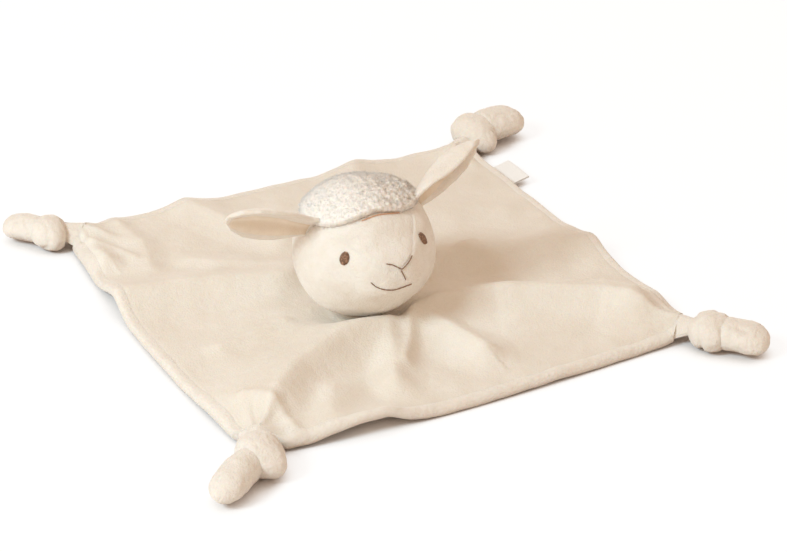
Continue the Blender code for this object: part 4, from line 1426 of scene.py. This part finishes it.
class LOVEY_OT_neck(bpy.types.Operator):
    """Makes the stuffed neck and the small stitches that hold it down"""

    bl_idname = "lovey.neck"
    bl_label = "Neck"

    def execute(self, context):
        def place(x, y, z):
            turn = np.arctan2(y, x)
            gather = 1.0 + 0.05 * np.cos(14.0 * turn) * (1.0 - z * z)
            form = np.stack((x * gather, y * gather, z), axis=1) * (NECK_RADIUS - 0.0003)
            points = np.array(NECK) + form
            points[:, 2] = np.maximum(points[:, 2], BLANKET_TOP + LAYER_GAP)
            return points

        neck = ball("neck_cloth", 56, 28, place)
        dress(neck, head_velour())
        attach(neck, "neck")
        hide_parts("neck_stub")
        low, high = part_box("neck_stitching")
        reach = (high.x - low.x) / 2.0 - 0.0004

        def on_ring(turn):
            x, y = NECK.x + math.cos(turn) * reach, NECK.y + math.sin(turn) * reach
            return Vector((x, y, (low.z + high.z) / 2.0))

        stitches = []
        for step in range(NECK_STITCH_COUNT):
            turn = math.tau * step / NECK_STITCH_COUNT
            start, end = on_ring(turn - NECK_STITCH_HALF_TURN), on_ring(turn + NECK_STITCH_HALF_TURN)
            stitches.append(stitch("neck_stitch", start, end, UP, NECK_STITCH))
        ring = join("neck_stitches", stitches)
        dress(ring, pale_thread())
        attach(ring, "blanket")
        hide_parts("neck_stitching")
        return {"FINISHED"}


class LOVEY_OT_head_covers(bpy.types.Operator):
    """Sews the head's four velour panels round its filling"""

    bl_idname = "lovey.head_covers"
    bl_label = "Head covers"

    def execute(self, context):
        filling = ball("head_filling", 32, 20, lay_filling)
        dress(filling, fibre_filling())
        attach(filling, "head")
        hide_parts("head_stuffing")
        panels = (
            ("forehead_cloth", "forehead_gusset", 56, 40, lay_gusset),
            ("cheek_cloth_left", "cheek_left", 64, 78, lay_cheek(-1)),
            ("cheek_cloth_right", "cheek_right", 64, 78, lay_cheek(1)),
            ("back_of_head_cloth", "back_of_head", 72, 78, lay_back),
        )
        for name, node, columns, rows, place in panels:
            panel = slab(name, columns, rows, place)
            dress(panel, head_velour())
            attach(panel, "head")
            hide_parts(node)
        return {"FINISHED"}


class LOVEY_OT_wool_cap(bpy.types.Operator):
    """Makes the wool cap and its clumped pile"""

    bl_idname = "lovey.wool_cap"
    bl_label = "Wool cap"

    def execute(self, context):
        cap = ball("wool_cap", 220, 130, lay_cap)
        centre = np.array(head_centre())
        to_right = (points_of(cap) - centre) @ np.array(CLUMPY_SIDE) / HEAD_HALF[0]
        clumpy = mix(CLUMPY_LEAST, 1.0, soft_step((to_right - CLUMPY_START) / CLUMPY_RUN))
        lumps(cap, CAP_LUMPS, clumpy)
        dress(cap, wool_cloth())
        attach(cap, "head")
        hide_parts("crown_fleece")

        def outside(centres, normals):
            return np.einsum("ij,ij->i", centres - centre, normals) > 0.0

        pile = grow_pile("wool_pile", cap, outside)
        dress(pile, wool_tufts())
        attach(pile, "head")
        return {"FINISHED"}


class LOVEY_OT_ears(bpy.types.Operator):
    """Makes each ear's outer leaf and its lining"""

    bl_idname = "lovey.ears"
    bl_label = "Ears"

    def execute(self, context):
        for side in SIDES:
            hinge, along, _, _ = ear_axes(side)
            half = EAR_THICKNESS / 2.0
            thick = EAR_THICKNESS + 2.0 * LEAF_PLUMP
            place = lay_leaf(side, LEAF_ENDS, (-1.0, 1.0), -half - LEAF_PLUMP, thick)
            leaf = slab(f"ear_cloth_{side}", 48, 72, place)
            dress(leaf, head_velour())
            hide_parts(f"ear_{side}")
            edges = LINING_SIDES[side]
            place = lay_leaf(side, LINING_ENDS, edges, half - LINING_SUNK, LINING_THICKNESS)
            lining = slab(f"ear_lining_cloth_{side}", 32, 56, place)
            dress(lining, ear_knit())
            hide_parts(f"ear_lining_{side}")
            for piece in (leaf, lining):
                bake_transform(piece)
        return {"FINISHED"}


def stitch(name, start, end, outward, form):
    """One thread stitch: a capsule that rises from the cloth at both ends."""
    radius, hump = form
    middle = (start + end) / 2.0
    reach = (end - start).length / 2.0 + radius
    along = (end - start).normalized()
    across = along.cross(outward).normalized()
    rise = across.cross(along)

    def place(x, y, z):
        full = np.sqrt(np.clip(1.0 - z**4, 0.0, 1.0))
        ring = np.sqrt(np.clip(1.0 - z**2, 1e-9, 1.0))
        side = x / ring * full * radius
        lift = y / ring * full * radius + hump * (1.0 - z**2)
        placed = np.array(middle) + np.outer(z * reach, np.array(along))
        return placed + np.outer(side, np.array(across)) + np.outer(lift, np.array(rise))

    return ball(name, 8, 10, place)


def join(name, parts):
    hold(parts[0])
    for part in parts:
        part.select_set(True)
    bpy.ops.object.join()
    return named(name)


def head_spot(lon, lat, out):
    return Vector(head_points(np.array([lon]), np.array([lat]), np.array([out]))[0])


def head_stitch(name, start, end, middle, form):
    """A stitch between two places on the head, given like its middle as longitude and latitude."""
    ends = [head_spot(*spot, STITCH_STAND) for spot in (start, end)]
    outward = (head_spot(*middle, 0.001) - head_spot(*middle, 0.0)).normalized()
    return stitch(name, *ends, outward, form)


def stitched_line(name, course):
    """Back stitches of about one length along a course of longitudes and latitudes."""
    course = np.array(course)
    bends = head_points(course[:, 0], course[:, 1], np.zeros(len(course)))
    along = np.concatenate(([0.0], np.cumsum(np.linalg.norm(np.diff(bends, axis=0), axis=1))))
    at = np.linspace(0.0, along[-1], max(2, round(along[-1] / STITCH_LENGTH)) + 1)
    spots = [tuple(np.interp(place, along, axis) for axis in course.T) for place in at]
    parts = []
    for start, end in zip(spots, spots[1:]):
        middle = [(a + b) / 2.0 for a, b in zip(start, end)]
        parts.append(head_stitch(name + "_part", start, end, middle, LINE_STITCH))
    return join(name, parts)


class LOVEY_OT_face(bpy.types.Operator):
    """Embroiders the eyes, nose, lip and mouth"""

    bl_idname = "lovey.face"
    bl_label = "Face"

    def execute(self, context):
        for side, sign in SIDES.items():
            parts = []
            for row in range(EYE_ROWS):
                share = 2.0 * (row + 0.5) / EYE_ROWS - 1.0
                wide = EYE_HALF[0] * math.sqrt(1.0 - share**2)
                lat = EYE_LAT + degrees_of(share * EYE_HALF[1])
                reach = degrees_of(wide) / math.cos(math.radians(EYE_LAT))
                start, end, middle = ((sign * (EYE_LON + way * reach), lat) for way in (-1, 1, 0))
                parts.append(head_stitch("eye_part", start, end, middle, EYE_STITCH))
            eye = join(f"eye_thread_{side}", parts)
            dress(eye, eye_thread())
            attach(eye, "head")
            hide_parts(f"eye_{side}")
        for name, course in (("nose", NOSE_STITCH), ("lip", LIP_STITCH), ("mouth", MOUTH_STITCH)):
            line = stitched_line(f"{name}_thread", course)
            dress(line, brown_thread())
            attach(line, "head")
            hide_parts(f"{name}_stitch")
        # Painted shadow: a line of brown stitches under the cap's edge, where its seam lies in shade.
        course = [
            (lon, float(crown_lat(lon)) - CAP_SEAM_SHADOW_DROP + CAP_SEAM_SHADOW_SLOPE * lon) for lon in CAP_SEAM_SHADOW_LONS
        ]
        line = stitched_line("cap_seam_thread", course)
        dress(line, seam_thread())
        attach(line, "head")
        return {"FINISHED"}


class LOVEY_OT_corners(bpy.types.Operator):
    """Ties the four corners: gathered sleeve, knot and tail"""

    bl_idname = "lovey.corners"
    bl_label = "Knotted corners"

    def execute(self, context):
        for corner in CORNERS:
            pieces = (
                ("sleeve", tube(f"sleeve_cloth_{corner}", 64, lay_sleeve(corner))),
                ("knot", ball(f"knot_cloth_{corner}", 96, 64, lay_knot(corner))),
                ("tail", ball(f"tail_cloth_{corner}", 88, 64, lay_tail(corner))),
            )
            for kind, cloth in pieces:
                lumps(cloth, CLOTH_LUMPS)
                dress(cloth, deep_plush())
                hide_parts(f"{kind}_{corner}")
                if kind == "sleeve":
                    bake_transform(cloth)
                elif kind == "knot":
                    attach(cloth, f"corner_{corner}")
                else:
                    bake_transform(cloth)
        return {"FINISHED"}


class LOVEY_OT_ribbon(bpy.types.Operator):
    """Folds the bare white ribbon into the right edge"""

    bl_idname = "lovey.ribbon"
    bl_label = "Ribbon"

    def execute(self, context):
        hinge = JOINT_PLACES["label_flip"]

        def place(u, v, depth):
            radius = RIBBON_PLY / 2.0 + RIBBON_PLY * (1.0 - depth)
            turn = math.pi * np.clip((v + RIBBON_BEND) / (2.0 * RIBBON_BEND), 0.0, 1.0)
            reach = RIBBON_REACH * np.clip((1.0 - np.abs(v)) / (1.0 - RIBBON_BEND), 0.0, 1.0)
            bow = RIBBON_BOW * (1.0 - u**2) * reach / RIBBON_REACH
            out = reach + np.sin(turn) * radius
            rise = np.cos(turn) * radius + bow
            x = out * math.cos(RIBBON_TILT) - rise * math.sin(RIBBON_TILT)
            z = out * math.sin(RIBBON_TILT) + rise * math.cos(RIBBON_TILT)
            return np.array(hinge) + np.stack((x, u * RIBBON_WIDTH / 2.0, z), axis=1)

        ribbon = slab("ribbon_tab", 24, 60, place)
        dress(ribbon, white_ribbon())
        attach(ribbon, "label")
        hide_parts("edge_label")
        return {"FINISHED"}


class LOVEY_OT_stage(bpy.types.Operator):
    """Sets the floor, the lamps, the room's light and the camera"""

    bl_idname = "lovey.stage"
    bl_label = "Stage"

    def execute(self, context):
        stage = context.scene.lovey_stage
        deselect_all()
        bpy.ops.mesh.primitive_plane_add(size=FLOOR_SIDE, location=(0.0, 0.0, FLOOR_DROP))
        floor = named("studio_floor")
        floor.data.materials.append(studio_floor())

        bpy.ops.object.light_add(type="AREA", location=TOWARD_LAMP * LAMP_DISTANCE)
        lamp = bpy.context.object
        lamp.name = "key_lamp"
        lamp.data.energy = stage.key
        lamp.data.size = stage.lamp_size
        lamp.data.color = LAMP_COLOUR
        lamp.rotation_euler = TOWARD_LAMP.to_track_quat("Z", "Y").to_euler()

        world = bpy.data.worlds.new("room")
        context.scene.world = world
        world.use_nodes = True
        tree = Tree(world.node_tree)
        room = world.node_tree.nodes["Background"]
        tree.feed(room.inputs["Color"], rgba(ROOM_COLOUR))
        tree.feed(room.inputs["Strength"], stage.fill)
        white = tree.node("ShaderNodeBackground", {}, {"Color": rgba(WHITE), "Strength": 1.0})
        lights = {0: tree.seen(), 1: Wire(tree, room.outputs[0]), 2: white}
        shown = tree.node("ShaderNodeMixShader", {}, lights)
        tree.feed(world.node_tree.nodes["World Output"].inputs["Surface"], shown)

        bpy.ops.object.camera_add(location=CAMERA_PLACE)
        camera = bpy.context.object
        camera.name = "photo_camera"
        camera.rotation_euler = (CAMERA_PLACE - CAMERA_TARGET).to_track_quat("Z", "Y").to_euler()
        camera.data.lens = CAMERA_LENS
        camera.data.sensor_width = SENSOR_WIDTH
        camera.data.clip_start = 0.01
        context.scene.camera = camera
        context.scene.view_settings.view_transform = "Standard"
        return {"FINISHED"}


OPERATORS = (
    LOVEY_OT_stage,
    LOVEY_OT_backing_cloth,
    LOVEY_OT_top_cloth,
    LOVEY_OT_corners,
    LOVEY_OT_neck,
    LOVEY_OT_head_covers,
    LOVEY_OT_wool_cap,
    LOVEY_OT_ears,
    LOVEY_OT_face,
    LOVEY_OT_ribbon,
)


class LOVEY_PT_pieces(bpy.types.Panel):
    """Lists the lovey's pieces"""

    bl_idname = "LOVEY_PT_pieces"
    bl_label = "Comfort blanket lovey"
    bl_space_type = "VIEW_3D"
    bl_region_type = "UI"
    bl_category = "Lovey"

    def draw(self, context):
        for group in (colours(), sizes(), context.scene.lovey_stage):
            for name in group.bl_rna.properties.keys():
                if name not in ("rna_type", "name"):
                    self.layout.prop(group, name)
        for operator in OPERATORS:
            self.layout.operator(operator.bl_idname)


CLASSES = (LoveyColours, LoveySizes, LoveyStage, *OPERATORS, LOVEY_PT_pieces)


def register():
    for kind in CLASSES:
        bpy.utils.register_class(kind)
    bpy.types.Scene.lovey_colours = bpy.props.PointerProperty(type=LoveyColours)
    bpy.types.Scene.lovey_sizes = bpy.props.PointerProperty(type=LoveySizes)
    bpy.types.Scene.lovey_stage = bpy.props.PointerProperty(type=LoveyStage)


def unregister():
    del bpy.types.Scene.lovey_stage
    del bpy.types.Scene.lovey_sizes
    del bpy.types.Scene.lovey_colours
    for kind in reversed(CLASSES):
        bpy.utils.unregister_class(kind)


def main():
    register()
    bpy.ops.lovey.stage()
    bpy.ops.lovey.backing_cloth()
    bpy.ops.lovey.top_cloth()
    bpy.ops.lovey.corners()
    bpy.ops.lovey.neck()
    bpy.ops.lovey.head_covers()
    bpy.ops.lovey.wool_cap()
    bpy.ops.lovey.ears()
    bpy.ops.lovey.face()
    bpy.ops.lovey.ribbon()


if __name__ == "__main__":
    main()
